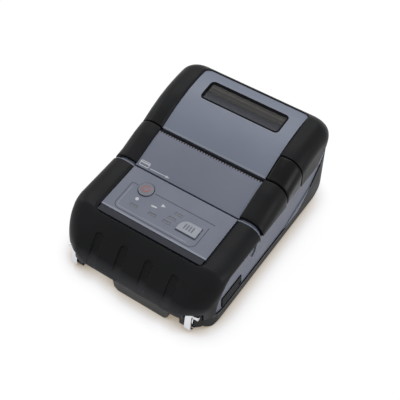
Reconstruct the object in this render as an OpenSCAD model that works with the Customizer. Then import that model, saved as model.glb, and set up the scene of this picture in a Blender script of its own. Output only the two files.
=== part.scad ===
// Portable receipt printer for 58 mm paper rolls.
// X runs across the body, -Y is the control-panel end, +Z is up.
// The origin lies on the ground, under the middle of the body.

/* [Body] */
// Widest paper that the printer takes
paper_w = 58; // [54:0.5:64]
// Width of each side, from the paper's edge to the outside
side_w = 12; // [11:0.25:14]
// Largest paper roll radius
roll_r = 18.5; // [17:0.25:20]
// Distance from the front end to the card slot
deck_l = 47; // [44:0.5:52]
// Distance from the card slot to the tear bar
slot_to_tear = 21.2; // [20:0.1:24]
// Height gained from the card slot to the tear bar
tear_rise = 6.1; // [5.5:0.1:6.6]
// Height gained from the tear bar to the top of the lid bumper
lid_rise = 8.9; // [8:0.1:10]
// Wall thickness of the moulded housings
wall = 2.0; // [1.8:0.1:2.2]
// Thickness of the rubber bumpers
bumper_t = 1.7; // [1.5:0.1:1.8]
// Plan radius of the two front corners
front_corner_r = 17.5; // [15.5:0.5:19]
// Plan radius of the two rear corners
rear_corner_r = 11; // [9:0.5:12]
// Radius of the rounded shoulder along both sides
shoulder_r = 7.5; // [6.5:0.25:8]
// How far the bumper crown stands above the panels
crown_h = 1.3; // [1:0.1:1.6]

/* [Panels] */
// Width of the card slot
slot_gap = 0.8; // [0.6:0.1:1.2]
// Length of the finger notch in the rails beside the card slot
notch_l = 2.4; // [1.6:0.1:3]
// Window size across the body
window_w = 42.4; // [38:0.5:46]
// Window size along the body
window_l = 11; // [9:0.5:13]
// Corner radius of the lid's window
window_r = 1.8; // [1:0.1:3.5]

/* [Drive] */
// Radius of the rubber platen
platen_r = 4.0; // [3.6:0.1:4.4]
// Radius of the platen shaft
shaft_r = 1.5; // [1.3:0.1:1.7]
// Module of the drive gears
gear_m = 0.5; // [0.48:0.01:0.54]
// Width of the drive gears
gear_w = 2.2; // [1.8:0.1:2.4]
// Radius of the stepper motor
motor_r = 7.0; // [6:0.25:7.5]

/* [Battery] */
// Thickness of the battery pack
pack_h = 17; // [15:0.5:19]
// Sideways place of the battery pack
pack_x = 6; // [5:0.5:7]

/* [Controls] */
// Radius of the round power button
power_r = 3.7; // [3:0.1:4.2]
// Travel of the panel buttons
key_travel = 0.8; // [0.5:0.1:1]
// Travel of the lid release button
release_travel = 1.4; // [1:0.1:1.6]
// Length of the lid release button
release_l = 12.2; // [11:0.2:14]

/* [Strap loops] */
// Radius of the strap loop pin
loop_pin_r = 1.0; // [0.8:0.1:1.2]
// Width of the strip that the loop is bent from
loop_w = 3.1; // [2.4:0.1:3.6]
// Thickness of that strip
loop_t = 0.9; // [0.7:0.1:1.1]
// Radius of the wide end inside
loop_in_r = 2.4; // [2.2:0.1:2.8]
// Distance from the pin to the centre of the wide end
loop_drop = 6.8; // [5:0.2:7]

/* [Fits] */
// Gap between parts of one housing that only meet
seat_gap = 0.3; // [0.2:0.05:0.35]
// Gap round anything that slides
slide_gap = 0.3; // [0.2:0.05:0.4]
// Radial clearance of a shaft in its bore
bore_gap = 0.05; // [0.03:0.01:0.08]

/* [Hidden] */
$fn = 64;
e = 0.01;

// Overall sizes, from the paper, the roll and what lies under the deck
floor_t = 1.8;
pack_floor = 0.35;
bay_t = 1.2;
board_t = 1.6;
board_gap = 0.3;
part_h = 1.4;
key_board_t = 1.2;
key_room = 7;
main_board_z = pack_floor + pack_h + slide_gap + bay_t + board_gap;
slot_z = main_board_z + board_t + part_h + 0.65 + key_board_t + key_room;
bucket_t = 1.2;
bucket_r = roll_r + 1;
rear_arc_r = bucket_r + bucket_t + floor_t + 3;
rear_l = 2 * roll_r + 7.8;
body_l = deck_l + slot_to_tear + rear_l;
body_h = slot_z + tear_rise + lid_rise;
hw = paper_w / 2 + side_w;
panel_hw = paper_w / 2 - 0.5;
y_front = -body_l / 2;
y_rear = body_l / 2;
y_slot = y_front + deck_l;
y_tear = y_slot + slot_to_tear;
tear_z = slot_z + tear_rise;

// Lid hinge, near the rear end
hinge_y = y_rear - 3.9;
hinge_z = body_h - 10;
hinge_pin_r = 1.25;
barrel_r = 3.75;
hinge_seat_r = 4.95;

// Line of the panels seen from the side
deck_fall = 0.05;
crease_back = 6.2;
crease_drop = 1.2;
lid_top_y = y_rear - 9.5;
lid_top_z = body_h - 0.7;
lid_front_gap = 0.8;
y_lid = y_tear + lid_front_gap;
lid_arc_r = pow(lid_top_y - y_lid, 2) / (2 * (lid_top_z - tear_z + 0.1));
roll_over_r = 9.5;
rear_crown_h = 0.7;

// Front slope of the bumper
slope_y = y_front + 15;
nose_z = 12.6;
nose_low = 11.9;
lip_z = 8.6;
lip_l = 4;
slope_bulge = 1.2;

// Edges of the deck at the front
deck_front_y = y_front + 17.5;
strip_l = 3.6;

// Lower housing
base_inset = 0.6;
rear_arc_y = y_rear - rear_arc_r;
rear_arc_z = rear_arc_r;
front_arc_r = 8.5;
base_front_y = y_front + 5;
base_round = 3;
seam_z = 7.8;
seam_arc_r = 100;
seam_arc_y = y_rear - 88.2;
seam_arc_z = 89.6;
seam_line = 0.4;

// Print mechanism
platen_y = y_tear + 1.35 + platen_r;
platen_z = tear_z - 5.7;
frame_x = paper_w / 2 + 2.8;
frame_t = 1.2;
bracket_t = 1.6;
bracket_x = paper_w / 2 + 0.7;
head_gap = 0.5;
head_y = platen_y - platen_r - head_gap;
platen_teeth = 18;
idler_teeth = 42;
pinion_teeth = 12;
gear_x = -(frame_x + frame_t + 0.5 + gear_w);
idler_angle = 1;
idler_d = gear_m * (platen_teeth + idler_teeth) / 2 + 0.08;
idler_y = platen_y - idler_d * sin(idler_angle);
idler_z = platen_z - idler_d * cos(idler_angle);
pinion_angle = 88;
pinion_d = gear_m * (idler_teeth + pinion_teeth) / 2 + 0.08;
pinion_y = idler_y - pinion_d * sin(pinion_angle);
pinion_z = idler_z - pinion_d * cos(pinion_angle);
motor_l = 11.5;

// Paper bucket
bucket_y = rear_arc_y - 0.5;
bucket_z = floor_t + 0.5 + bucket_t + bucket_r;

// Battery bay
pack_w = paper_w - 21;
pack_l = deck_l + 11;
pack_front_y = y_front + 2.1;
nose_w = pack_w - 6;
nose_l = 9.2;
nose_top = 10.6;

// Rails
rail_low_z = slot_z - 4.4;
lid_low_z = slot_z - 3;
edge_dip = 0.7;
rail_end_y = y_tear - 0.2;
release_y0 = y_tear + 0.5;
release_y1 = release_y0 + release_l;
release_x = panel_hw - 2;

// Side-view lines

// Panel height at y
function panel_z(y) =
    y < y_slot ? slot_z + (y - y_slot) * deck_fall
    : y < y_tear - crease_back
        ? slot_z + (y - y_slot) * (tear_rise - crease_drop) / (slot_to_tear - crease_back)
    : y < y_lid ? tear_z - (y_tear - y) * crease_drop / crease_back
    : lid_z(y);

// Height of the arched lid panel at y
function lid_z(y) = lid_top_z - pow(max(lid_top_y - y, 0), 2) / (2 * lid_arc_r);

// Crown height over the panel
function crown(y) = crown_h + (rear_crown_h - crown_h) * min(max((y - 28) / 16, 0), 1);

// Front slope of the bumper, from the deck edge to the nose
function slope_z(y) = let (d = slope_y - y, run = slope_y - y_front, top = panel_z(slope_y) - 0.1)
    top - (top - nose_z) * d / run + slope_bulge * 4 * d * (run - d) / (run * run);

// Height of the bumper's crown line at y
function crown_z(y) =
    y < slope_y ? slope_z(y)
    : y < slope_y + 3 ? slope_z(slope_y) + (panel_z(slope_y + 3) + crown_h - slope_z(slope_y))
        * sin(90 * (y - slope_y) / 3)
    : y < lid_top_y ? panel_z(y) + crown(y)
    : lid_top_z + rear_crown_h - roll_over_r
        + sqrt(max(pow(roll_over_r, 2) - pow(y - lid_top_y, 2), 0));

// Half width of the plan outline at y
function half_w(y) =
    let (fc = y_front + front_corner_r, rc = y_rear - rear_corner_r)
    y < fc ? hw - front_corner_r + sqrt(max(pow(front_corner_r, 2) - pow(fc - y, 2), 0))
    : y > rc ? hw - rear_corner_r + sqrt(max(pow(rear_corner_r, 2) - pow(y - rc, 2), 0))
    : hw;

// Lower edge of the bumpers at y
function rail_low(y) =
    let (up = y_front + 23, down = y_front + 12)
    y < y_front + lip_l ? lip_z + (nose_low - lip_z) * pow((y_front + lip_l - y) / lip_l, 1.2)
    : y < down ? lip_z
    : y < up ? lip_z + (rail_low_z - lip_z) * sqrt(1 - pow((up - y) / (up - down), 2))
    : y < y_tear ? rail_low_z
    : min(lid_low_z + max(y - (y_rear - 17.2), 0), hinge_z + 2);

// How much lower the inner edge of a rail lies than its crown
function dip(y) =
    y < slope_y ? 0
    : y < slope_y + 4 ? edge_dip * (y - slope_y) / 4
    : y < y_rear - 20 ? edge_dip
    : y < lid_top_y ? edge_dip * (lid_top_y - y) / (lid_top_y - y_rear + 20)
    : 0;

// Outer line of one side rail at y, drawn inwards by d: from the inner edge over the crown
// and the rounded shoulder down to the height low
function rail_line(y, d, x0, low, n = 7) =
    let (
        top = crown_z(y) - d,
        w = half_w(y) - d,
        rx = max(min(shoulder_r - d, w - x0 - 0.4), 0.4),
        rz = max(min(shoulder_r - d, top - low - 0.1), 0.3)
    )
    concat(
        [[x0, top - dip(y)], [x0 + (w - rx - x0) * 0.35, top - dip(y) * 0.3]],
        [for (i = [0:n]) [w - rx + rx * sin(90 * i / n), top - rz + rz * cos(90 * i / n)]],
        [[w, min(low, top - rz - 0.05)]]
    );

// Full-width line of a bumper at y, from the left lower edge over the crown to the right one
function hoop_line(y, d, low, n = 7) =
    let (
        top = crown_z(y) - d,
        w = half_w(y) - d,
        rx = max(min(shoulder_r - d, w - panel_hw - 0.4), min(w * 0.3, 2.5), 0.4),
        rz = max(min(shoulder_r - d, top - low - 0.1), 0.05),
        xa = min(panel_hw, (w - rx) * 0.96),
        half = concat(
            [[0, top - dip(y)], [xa, top - dip(y)], [xa + (w - rx - xa) * 0.35, top - dip(y) * 0.3]],
            [for (i = [0:n]) [w - rx + rx * sin(90 * i / n), top - rz + rz * cos(90 * i / n)]],
            [[w, min(low, top - rz - 0.02)]]
        ),
        m = len(half)
    )
    concat([for (i = [m - 1:-1:1]) [-half[i][0], half[i][1]]], half);

// Underside of the lip at y, where the bumper is solid from its crown to its lower edge
function lip_line(y) = [for (p = hoop_line(y, 0, rail_low(y))) [p[0] * 0.97, rail_low(y) - 0.01]];

// Solid through closed sections of equal length, each a list of [x, z] at a height y
module loft(ys, sections) {
    n = len(ys);
    m = len(sections[0]);
    points = [for (k = [0:n - 1]) for (p = sections[k]) [p[0], ys[k], p[1]]];
    sides = [for (k = [0:n - 2]) for (i = [0:m - 1]) let (j = (i + 1) % m)
        each [[k * m + i, (k + 1) * m + j, k * m + j], [k * m + i, (k + 1) * m + i, (k + 1) * m + j]]];
    polyhedron(points = points, faces = concat(sides, cap(m, 0, true), cap(m, (n - 1) * m, false)));
}

// End face of a section made of an outer and an inner line of equal length
function cap(m, at, flip) =
    let (h = m / 2)
    [for (i = [0:h - 2]) each [
        flip ? [at + i, at + i + 1, at + m - 2 - i] : [at + i, at + m - 2 - i, at + i + 1],
        flip ? [at + i, at + m - 2 - i, at + m - 1 - i] : [at + i, at + m - 1 - i, at + m - 2 - i]
    ]];

function reversed(v) = [for (i = [len(v) - 1:-1:0]) v[i]];

// Stations between two ends
function steps(a, b, n) = [for (i = [0:n]) a + (b - a) * i / n];

// Section of a bumper skin: an outer line, then the inner line back
function rail_section(y, x0, low, t) =
    concat(rail_line(y, 0, x0, low), reversed(rail_line(y, t, x0, low)));

// Bumper skin over the right rail through the stations ys
module rail_skin(ys, x0, t) {
    loft(ys, [for (y = ys) rail_section(y, x0, rail_low(y), t)]);
}

// Stations of the front bumper, shared with the case wall under it
front_ys = concat(
    [y_front + 0.02], [for (t = [0.15, 0.5, 1]) y_front + t], [y_front + bumper_t, y_front + bumper_t + 0.05],
    [for (t = [2.6, 4, 5.6, 7.4, 9.4, 12, 13, 14.2]) y_front + t],
    [slope_y, slope_y + 1, slope_y + 2, slope_y + 3], [y_front + 20.5, y_front + 23, y_front + 30],
    [y_slot - notch_l / 2]
);
rail_ys = steps(y_slot + notch_l / 2, rail_end_y, 7);
hoop_y = y_rear - 20;
hoop_ys = steps(hoop_y, lid_top_y, 4);

// Prism along X from a side-view outline in Y and Z
module across(x0, x1) {
    translate([x0, 0, 0]) rotate([90, 0, 90]) linear_extrude(height = x1 - x0) children();
}

// Round bar along X
module bar(y, z, r, x0, x1) {
    translate([x0, y, z]) rotate([0, 90, 0]) cylinder(r = r, h = x1 - x0);
}

// Box from corner to corner
module block(a, b) {
    translate(a) cube([b[0] - a[0], b[1] - a[1], b[2] - a[2]]);
}

// Plan outline, drawn inwards by d
module plan(d) {
    fc = y_front + front_corner_r;
    rc = y_rear - rear_corner_r;
    translate([-(hw - d), fc]) square([2 * (hw - d), rc - fc]);
    translate([-(hw - front_corner_r), y_front + d])
        square([2 * (hw - front_corner_r), front_corner_r]);
    translate([-(hw - rear_corner_r), rc - e])
        square([2 * (hw - rear_corner_r), rear_corner_r - d + e]);
    for (s = [-1, 1]) {
        translate([s * (hw - front_corner_r), fc]) circle(r = front_corner_r - d);
        translate([s * (hw - rear_corner_r), rc]) circle(r = rear_corner_r - d);
    }
}

// Side outline of the lower housing, drawn inwards by d
module base_side(d, top) {
    translate([base_front_y + front_arc_r, d])
        square([rear_arc_y - base_front_y - front_arc_r + e, top - d]);
    translate([base_front_y + d, front_arc_r])
        square([front_arc_r + e, top - front_arc_r]);
    translate([base_front_y + front_arc_r, front_arc_r]) circle(r = front_arc_r - d);
    intersection() {
        translate([rear_arc_y, rear_arc_z]) circle(r = rear_arc_r - d);
        translate([rear_arc_y, 0]) square([rear_arc_r, rear_arc_z]);
    }
    translate([rear_arc_y, rear_arc_z - e]) square([rear_arc_r - d, top - rear_arc_z + e]);
}

// Side region below the seam between the lower housing and the case
module below_seam(lift) {
    translate([y_front, -1]) square([body_l, seam_z + lift + 1]);
    difference() {
        translate([0, -1]) square([y_rear, hinge_z + 3]);
        translate([seam_arc_y, seam_arc_z]) circle(r = seam_arc_r - lift, $fn = 256);
    }
}

// Front outline of the lower housing with rounded lower edges, drawn inwards by d
module base_front(d) {
    w = hw - base_inset - d;
    r = base_round;
    translate([-w + r, d]) square([2 * (w - r), body_h]);
    translate([-w, d + r]) square([2 * w, body_h]);
    for (s = [-1, 1]) translate([s * (w - r), d + r]) circle(r = r);
}

module base_form(d, top) {
    intersection() {
        across(-hw, hw) base_side(d, top);
        linear_extrude(height = body_h) plan(base_inset + d);
        translate([0, y_rear, 0]) rotate([90, 0, 0]) linear_extrude(height = body_l) base_front(d);
    }
}

module base_shell() {
    color("#26282b")
    difference() {
        union() {
            difference() {
                intersection() {
                    base_form(0, hinge_z + 1);
                    across(-hw, hw) below_seam(0);
                }
                base_form(floor_t, hinge_z + 2);
                bar(hinge_y, hinge_z, hinge_seat_r, -hw, hw);
            }
            battery_bay_walls();
            screw_bosses();
            hinge_lugs();
            loop_lugs();
            front_collar();
        }
        battery_space();
        bar(hinge_y, hinge_z, hinge_pin_r, -lug_x1 - e, lug_x1 + e);
        for (p = screw_places) translate([p[0], p[1], -1]) cylinder(r = screw_hole_r, h = 20);
        for (p = screw_places) translate([p[0], p[1], -1]) cylinder(r = 2.2, h = 2.2);
        for (s = [-1, 1]) loop_pocket(s);
        for (s = [-1, 1]) bar(loop_y, loop_z, loop_pin_r, s * loop_x - loop_pin_half, s * loop_x + loop_pin_half);
    }
}

// Hinge lugs that stand up from the rear wall
lug_x0 = 24.5;
lug_x1 = 27.5;
module hinge_lugs() {
    for (s = [-1, 1]) mirror([s < 0 ? 1 : 0, 0, 0])
        across(lug_x0, lug_x1) {
            translate([hinge_y, hinge_z]) circle(r = 3.1);
            polygon([
                [hinge_y - 3.1, hinge_z], [hinge_y + 0.6, hinge_z], [hinge_y + 0.6, hinge_z - 4.4],
                [hinge_y + 2.4, hinge_z - 6.4], [hinge_y + 2.4, hinge_z - 9], [hinge_y - 3.1, hinge_z - 12]
            ]);
        }
}

// Battery bay, open below and to the front
bay_x0 = pack_x - pack_w / 2 - slide_gap;
bay_x1 = pack_x + pack_w / 2 + slide_gap;
bay_y1 = pack_front_y + pack_l + slide_gap;
bay_z1 = main_board_z - board_gap - bay_t;
bay_y0 = pack_front_y + nose_l - slide_gap;
module battery_bay_walls() {
    intersection() {
        block([bay_x0 - bay_t, bay_y0 - bay_t, 0], [bay_x1 + bay_t, bay_y1 + bay_t, bay_z1 + bay_t]);
        base_form(0, hinge_z);
    }
}

module battery_space() {
    block([bay_x0, bay_y0, -1], [bay_x1, bay_y1, bay_z1]);
    block([pack_x - nose_w / 2 - slide_gap, y_front - 1, -1],
        [pack_x + nose_w / 2 + slide_gap, bay_y0 + e, nose_top + slide_gap]);
}

// Screws and their bosses
screw_hole_r = 1.1;
screw_r = 2.4;
screw_x = bay_x1 + bay_t + screw_r - 0.1;
screw_places = [for (x = [-1, 1]) for (y = [y_front + 20, y_slot - 4]) [x * screw_x, y]];
module screw_bosses() {
    for (p = screw_places)
        translate([p[0], p[1], e]) cylinder(r = screw_r, h = seam_z + 6);
}

// Corner lugs for the strap loops
loop_y = y_front + 4.9;
loop_x = half_w(loop_y) - 4;
loop_z = loop_drop + loop_in_r + loop_t + 0.5;
loop_pin_half = 4.2;
module loop_lugs() {
    for (s = [-1, 1])
        intersection() {
            for (side = [-1, 1])
                across(s * loop_x + side * 3.4 - 1.2, s * loop_x + side * 3.4 + 1.2) {
                    translate([loop_y, loop_z]) circle(r = 2.6);
                    translate([loop_y - 2.3, 3]) square([4.9, loop_z - 3]);
                }
            linear_extrude(height = body_h) plan(base_inset);
        }
}

// Collar that closes the lower housing behind the bumper's lip
collar_z = 11.4;
module front_collar() {
    intersection() {
        difference() {
            intersection() {
                across(-hw, hw) base_side(0, collar_z);
                linear_extrude(height = collar_z) plan(under_rail + 0.1);
            }
            intersection() {
                across(-hw, hw) base_side(floor_t, body_h);
                linear_extrude(height = body_h) plan(under_rail + floor_t);
            }
        }
        block([-hw, y_front, seam_z - 2], [hw, y_front + 11, collar_z]);
    }
}

// Pocket that the strap loop swings in
module loop_pocket(s) {
    w = loop_w / 2 + slide_gap;
    block([s * loop_x - w, y_front - 1, -1], [s * loop_x + w, loop_y + loop_in_r + loop_t + 2.7, loop_z + 4]);
}

// Case: side walls, deck and card guide
case_inset = 0.8;
case_wall = wall;
under_rail = bumper_t + seat_gap;

function seam_at(y) =
    y < 0 ? seam_z + seam_line
    : max(seam_z + seam_line,
        seam_arc_z - sqrt(max(pow(seam_arc_r - seam_line, 2) - pow(y - seam_arc_y, 2), 0)));

// Upper edge of the case below the rubber, kept clear along its steep parts too
function under_rubber(y) = rail_low(y - seat_gap - 0.05) - seat_gap;

// Section of the right side wall: under the rail, a step outwards below it, down to the seam
function wall_section(y) =
    let (
        low = under_rubber(y),
        seam = seam_at(y),
        x0 = panel_hw + 0.4,
        a = rail_line(y, under_rail, x0, low),
        b = rail_line(y, under_rail + case_wall - 0.4, x0, low),
        xo = half_w(y) - case_inset,
        xi = half_w(y) - under_rail - case_wall + 0.4
    )
    concat(
        a,
        [[xo, min(low, a[len(a) - 1][1]) - 0.05], [xo, min(seam, low - 0.5)]],
        [[xi, min(seam, low - 0.5)], [xi, min(low, b[len(b) - 1][1]) - 0.05]],
        reversed(b)
    );

module case_wall_right() {
    ys = concat([for (y = front_ys) if (y > case_y0 - e) y], rail_ys, [case_y1]);
    loft(ys, [for (y = ys) wall_section(y)]);
}

case_y0 = y_front + 13;
case_y1 = release_y0 - seat_gap;
module upper_case() {
    color("#7b8198") {
        for (s = [0, 1]) mirror([s, 0, 0]) {
            difference() {
                case_wall_right();
                if (s == 0) port_cut();
                if (s == 1) gear_way();
                notch_cut();
            }
            difference() {
                rear_wall_right();
                if (s == 0) release_rebate();
            }
        }
        for (s = [0, 1]) mirror([s, 0, 0]) notch_rib();
        deck();
    }
}

// Rib that shows between the front bumper and the card slot
module notch_rib() {
    ys = [y_slot - notch_l / 2 + 0.15, y_slot - slot_gap / 2];
    x0 = panel_hw + 0.1;
    loft(ys, [for (y = ys) concat(
        rail_line(y, 0.35, x0, rail_low(y)), reversed(rail_line(y, under_rail + 0.6, x0, rail_low(y)))
    )]);
}

// Side wall beside the paper bucket, below the lid
module rear_wall_right() {
    ys = concat([case_y1, case_y1 + seat_gap], hoop_ys, [y_rear - 7.6, y_rear - 6.3]);
    loft(ys, [for (y = ys) let (
        top = under_rubber(y),
        seam = min(seam_at(y), top - 0.3),
        xo = half_w(y) - case_inset,
        xi = half_w(y) - under_rail - case_wall + 0.4
    ) [[xo, top], [xo, (top + seam) / 2], [xo, seam], [xi, seam], [xi, (top + seam) / 2], [xi, top]]]);
}

// Room under the release button's outer edge
module release_rebate() {
    block([hw - bumper_t - 0.4 - 2 * slide_gap, release_y0 - seat_gap - e, lid_low_z - release_travel - seat_gap],
        [hw + 1, release_y1 + seat_gap, lid_low_z + 1]);
}

// Way for the platen's gear, which swings up with the lid
module gear_way() {
    block([frame_x + frame_t + 0.2, y_tear - 0.9, platen_z - 3], [-gear_x + 0.3, case_y1 + 1, tear_z + 4]);
}

module notch_cut() {
    block([panel_hw + 0.2, y_slot - slot_gap / 2, slot_z - 8], [hw, y_slot + slot_gap / 2, slot_z + 4]);
}

// Deck with the control panel
module deck() {
    y1 = y_slot - slot_gap / 2;
    difference() {
        union() {
            deck_ledges();
            across(-panel_hw + 0.15, panel_hw - 0.15)
                polygon([
                    [deck_front_y, panel_z(deck_front_y)], [y1, panel_z(y1)],
                    [y1, panel_z(y1) - 8], [y1 - 1.4, panel_z(y1) - 8],
                    [y1 - 1.4, panel_z(y1) - wall], [deck_front_y + 4.2, panel_z(deck_front_y) - wall],
                    [deck_front_y + 4.2, panel_z(deck_front_y) - 4.4], [deck_front_y, panel_z(deck_front_y) - 4.4]
                ]);
            for (p = board_posts) translate([p[0], p[1], key_board_z])
                cylinder(r = 1.9, h = panel_z(p[1]) - key_board_z - 0.5);
        }
        strip_seat(0.1);
        translate([power_x, power_y, slot_z - 6]) cylinder(r = power_r + slide_gap, h = 12);
        feed_form(slide_gap, slot_z - 6, 12);
        for (p = led_places) led_form(p, 0.05, slot_z - 6, 12);
    }
}

// Ledges that join the deck to the side walls under the rubber
module deck_ledges() {
    y1 = y_slot - notch_l / 2;
    drop = under_rail + edge_dip - crown_h;
    for (s = [0, 1]) mirror([s, 0, 0])
        across(panel_hw - 1, panel_hw + 1)
            polygon([
                [deck_front_y, panel_z(deck_front_y) - drop - 0.1], [y1, panel_z(y1) - drop - 0.1],
                [y1, panel_z(y1) - drop - wall + 0.6], [deck_front_y, panel_z(deck_front_y) - drop - wall + 0.6]
            ]);
}

// Places on the control panel
power_x = -15.5;
power_y = y_slot - 8.9;
feed_x = 13.2;
feed_y = y_slot - 16.4;
feed_w = 10.2;
feed_l = 6.2;
feed_corner_r = 4;
led_places = [[-15.1, -19.2], [-5.2, -18.7], [2.7, -18.7], [3.6, -15.8], [4.9, -12.5]];
key_board_z = slot_z - key_room;
board_posts = [for (x = [-24, 24]) for (y = [y_slot - 4, deck_front_y + 6.5]) [x, y]];

module feed_form(grow, z, h) {
    translate([feed_x, feed_y, z]) linear_extrude(height = h) feed_outline(grow);
}

// Outline of the feed button with one far corner rounded
module feed_outline(grow) {
    l = feed_l / 2;
    w = feed_w / 2;
    intersection() {
        translate([-w - grow, -l - grow]) square([2 * (w + grow), 2 * (l + grow)]);
        union() {
            translate([-w - 1, -l - 1]) square([2 * w + 2, l + 1 - feed_corner_r + l]);
            translate([-w + feed_corner_r, -l - 1]) square([2 * w, 2 * l + 2]);
            translate([-w + feed_corner_r, l - feed_corner_r]) circle(r = feed_corner_r + grow);
        }
    }
}

module led_form(p, grow, z, h) {
    translate([p[0] - 2 - grow, y_slot + p[1] - 0.65 - grow, z])
        cube([4 + 2 * grow, 1.3 + 2 * grow, h]);
}

module strip_seat(grow) {
    z = panel_z(deck_front_y + strip_l / 2);
    block([-panel_hw - 1, deck_front_y - 1, z - 1.6 - grow], [panel_hw + 1, deck_front_y + strip_l + grow, z + 3]);
}

module ir_window() {
    z = panel_z(deck_front_y + strip_l / 2);
    color("#2c2d31")
    difference() {
        translate([0, deck_front_y + 0.1, z - 1.6]) linear_extrude(height = 1.5) hull() {
            translate([-panel_hw + 0.5, 0]) square([1, strip_l - 0.1]);
            translate([panel_hw - 1.4, 1.2]) circle(r = 0.9, $fn = 24);
            translate([panel_hw - 1.5, strip_l - 1.1]) square([1, 1]);
        }
        translate([-panel_hw, deck_front_y - 0.5, z - 2]) cube([2 * panel_hw, 0.5, 3]);
    }
}

module light_pipes() {
    color("#5c6070")
    for (p = led_places)
        led_form(p, 0, key_board_z + 1.9, panel_z(y_slot + p[1]) - key_board_z - 1.95);
}

module mid_cover() {
    y0 = y_slot + slot_gap / 2;
    y1 = y_tear - tear_bar_t;
    yc = y_tear - crease_back;
    color("#7f859b")
    across(-panel_hw + 0.1, panel_hw - 0.1)
        polygon([
            [y0, panel_z(y0)], [yc, panel_z(yc)], [y1, panel_z(y1)],
            [y1, panel_z(y1) - wall], [yc, panel_z(yc) - wall], [y0 + 1.4, panel_z(y0 + 1.4) - wall],
            [y0 + 1.4, panel_z(y0) - 8], [y0, panel_z(y0) - 8]
        ]);
}

// Front bumper: rails, slope and lip in one skin, open over the deck, with four finger grooves
groove_w = 3.4;
groove_pitch = 13.6;
groove_depth = 0.7;
module front_bumper() {
    color("#2b2d30")
    difference() {
        loft(front_ys, [for (y = front_ys) concat(
            hoop_line(y, 0, rail_low(y)),
            reversed(y > y_front + bumper_t ? hoop_line(y, bumper_t, rail_low(y)) : lip_line(y))
        )]);
        block([-panel_hw, deck_front_y - 0.3, lip_z + 6], [panel_hw, y_slot, slot_z + 5]);
        for (i = [-1.5:1:1.5]) groove_cut(i * groove_pitch);
        for (s = [-1, 1])
            block([s * loop_x - 5, y_front - 1, lip_z - 1], [s * loop_x + 5, loop_y + 4.5, loop_z + 3]);
    }
}

// Round-ended groove that runs down the slope
module groove_cut(x) {
    ya = slope_y - 4.6;
    za = slope_z(ya);
    angle = atan2(slope_z(ya) - slope_z(y_front + 1.4), ya - y_front - 1.4);
    depth = groove_depth;
    translate([x, ya, za]) rotate([angle, 0, 0]) translate([0, 0, -depth])
        linear_extrude(height = 3) {
            translate([0, -groove_w / 2]) circle(r = groove_w / 2, $fn = 24);
            translate([-groove_w / 2, -30]) square([groove_w, 30 - groove_w / 2]);
        }
}

module rail_right() {
    color("#2b2d30")
    rail_skin(rail_ys, panel_hw, bumper_t);
}

module rail_left() {
    color("#2b2d30")
    mirror([1, 0, 0]) rail_skin(rail_ys, panel_hw, bumper_t);
}

module release_button() {
    color("#1d1e20") {
        intersection() {
            rail_skin(steps(release_y0, release_y1, 6), panel_hw + 0.25, bumper_t + 0.4);
            bar(hinge_y, hinge_z, hinge_y - release_y0, panel_hw - 5, hw + 1);
        }
        release_stem();
    }
}

// Stem of the release button, which rides on the lid
module release_stem() {
    yc = (release_y0 + release_y1) / 2;
    block([35, yc - 2, platen_z - 4], [36.6, yc + 2, crown_z(yc) - 2]);
}

// Serrated tear bar on the front side of the paper exit
tear_bar_t = 0.9;
tooth_pitch = 1.2;
tear_w = 2 * panel_hw - 0.6;
tooth_h = 0.7;
module tear_bar() {
    n = floor(tear_w / tooth_pitch);
    z0 = panel_z(y_tear - 0.5) - 0.6;
    color("#3a3b3e") {
        block([-tear_w / 2, y_tear - tear_bar_t, z0 - 1.9], [tear_w / 2, y_tear - 0.1, z0]);
        translate([0, y_tear - 0.1, z0 - e]) rotate([90, 0, 0])
            linear_extrude(height = tear_bar_t - 0.1)
                polygon(concat(
                    [[-n * tooth_pitch / 2, 0]],
                    [for (i = [0:n - 1]) each [
                        [(i + 0.5 - n / 2) * tooth_pitch, tooth_h], [(i + 1 - n / 2) * tooth_pitch, 0.1]
                    ]],
                    [[n * tooth_pitch / 2, -0.5], [-n * tooth_pitch / 2, -0.5]]
                ));
    }
}

// Thermal print head and what presses it on the platen
module print_head() {
    color("#d8d4c8")
    block([-paper_w / 2 + 2, head_y - 1, platen_z - 5], [paper_w / 2 - 2, head_y, platen_z + 3]);
}

sink_t = 2.4;
module heat_sink() {
    color("#a9abae")
    difference() {
        block([-paper_w / 2 + 0.6, head_y - 1 - sink_t, platen_z - 5.4], [paper_w / 2 - 0.6, head_y - 1, platen_z + 2.6]);
        for (x = [-18, -9, 0, 9, 18])
            block([x - 2.4, head_y - 1 - sink_t - e, platen_z - 6], [x + 2.4, head_y - 2.2, platen_z - 1]);
    }
}

bulkhead_y = head_y - 6.2;
module head_spring() {
    y0 = bulkhead_y + frame_t;
    y1 = head_y - 1 - sink_t;
    z = platen_z + 0.6;
    color("#b9bbbe")
    for (x = [-16, 16]) translate([x, 0, 0])
        across(-3, 3)
            polygon([
                [y0, z + 1.6], [y0 + 0.35, z + 1.6], [y1, z + 0.2], [y1, z - 0.2], [y0 + 0.35, z - 1.6], [y0, z - 1.6],
                [y0, z - 1.2], [y1 - 0.7, z], [y0, z + 1.2]
            ]);
}

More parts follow.
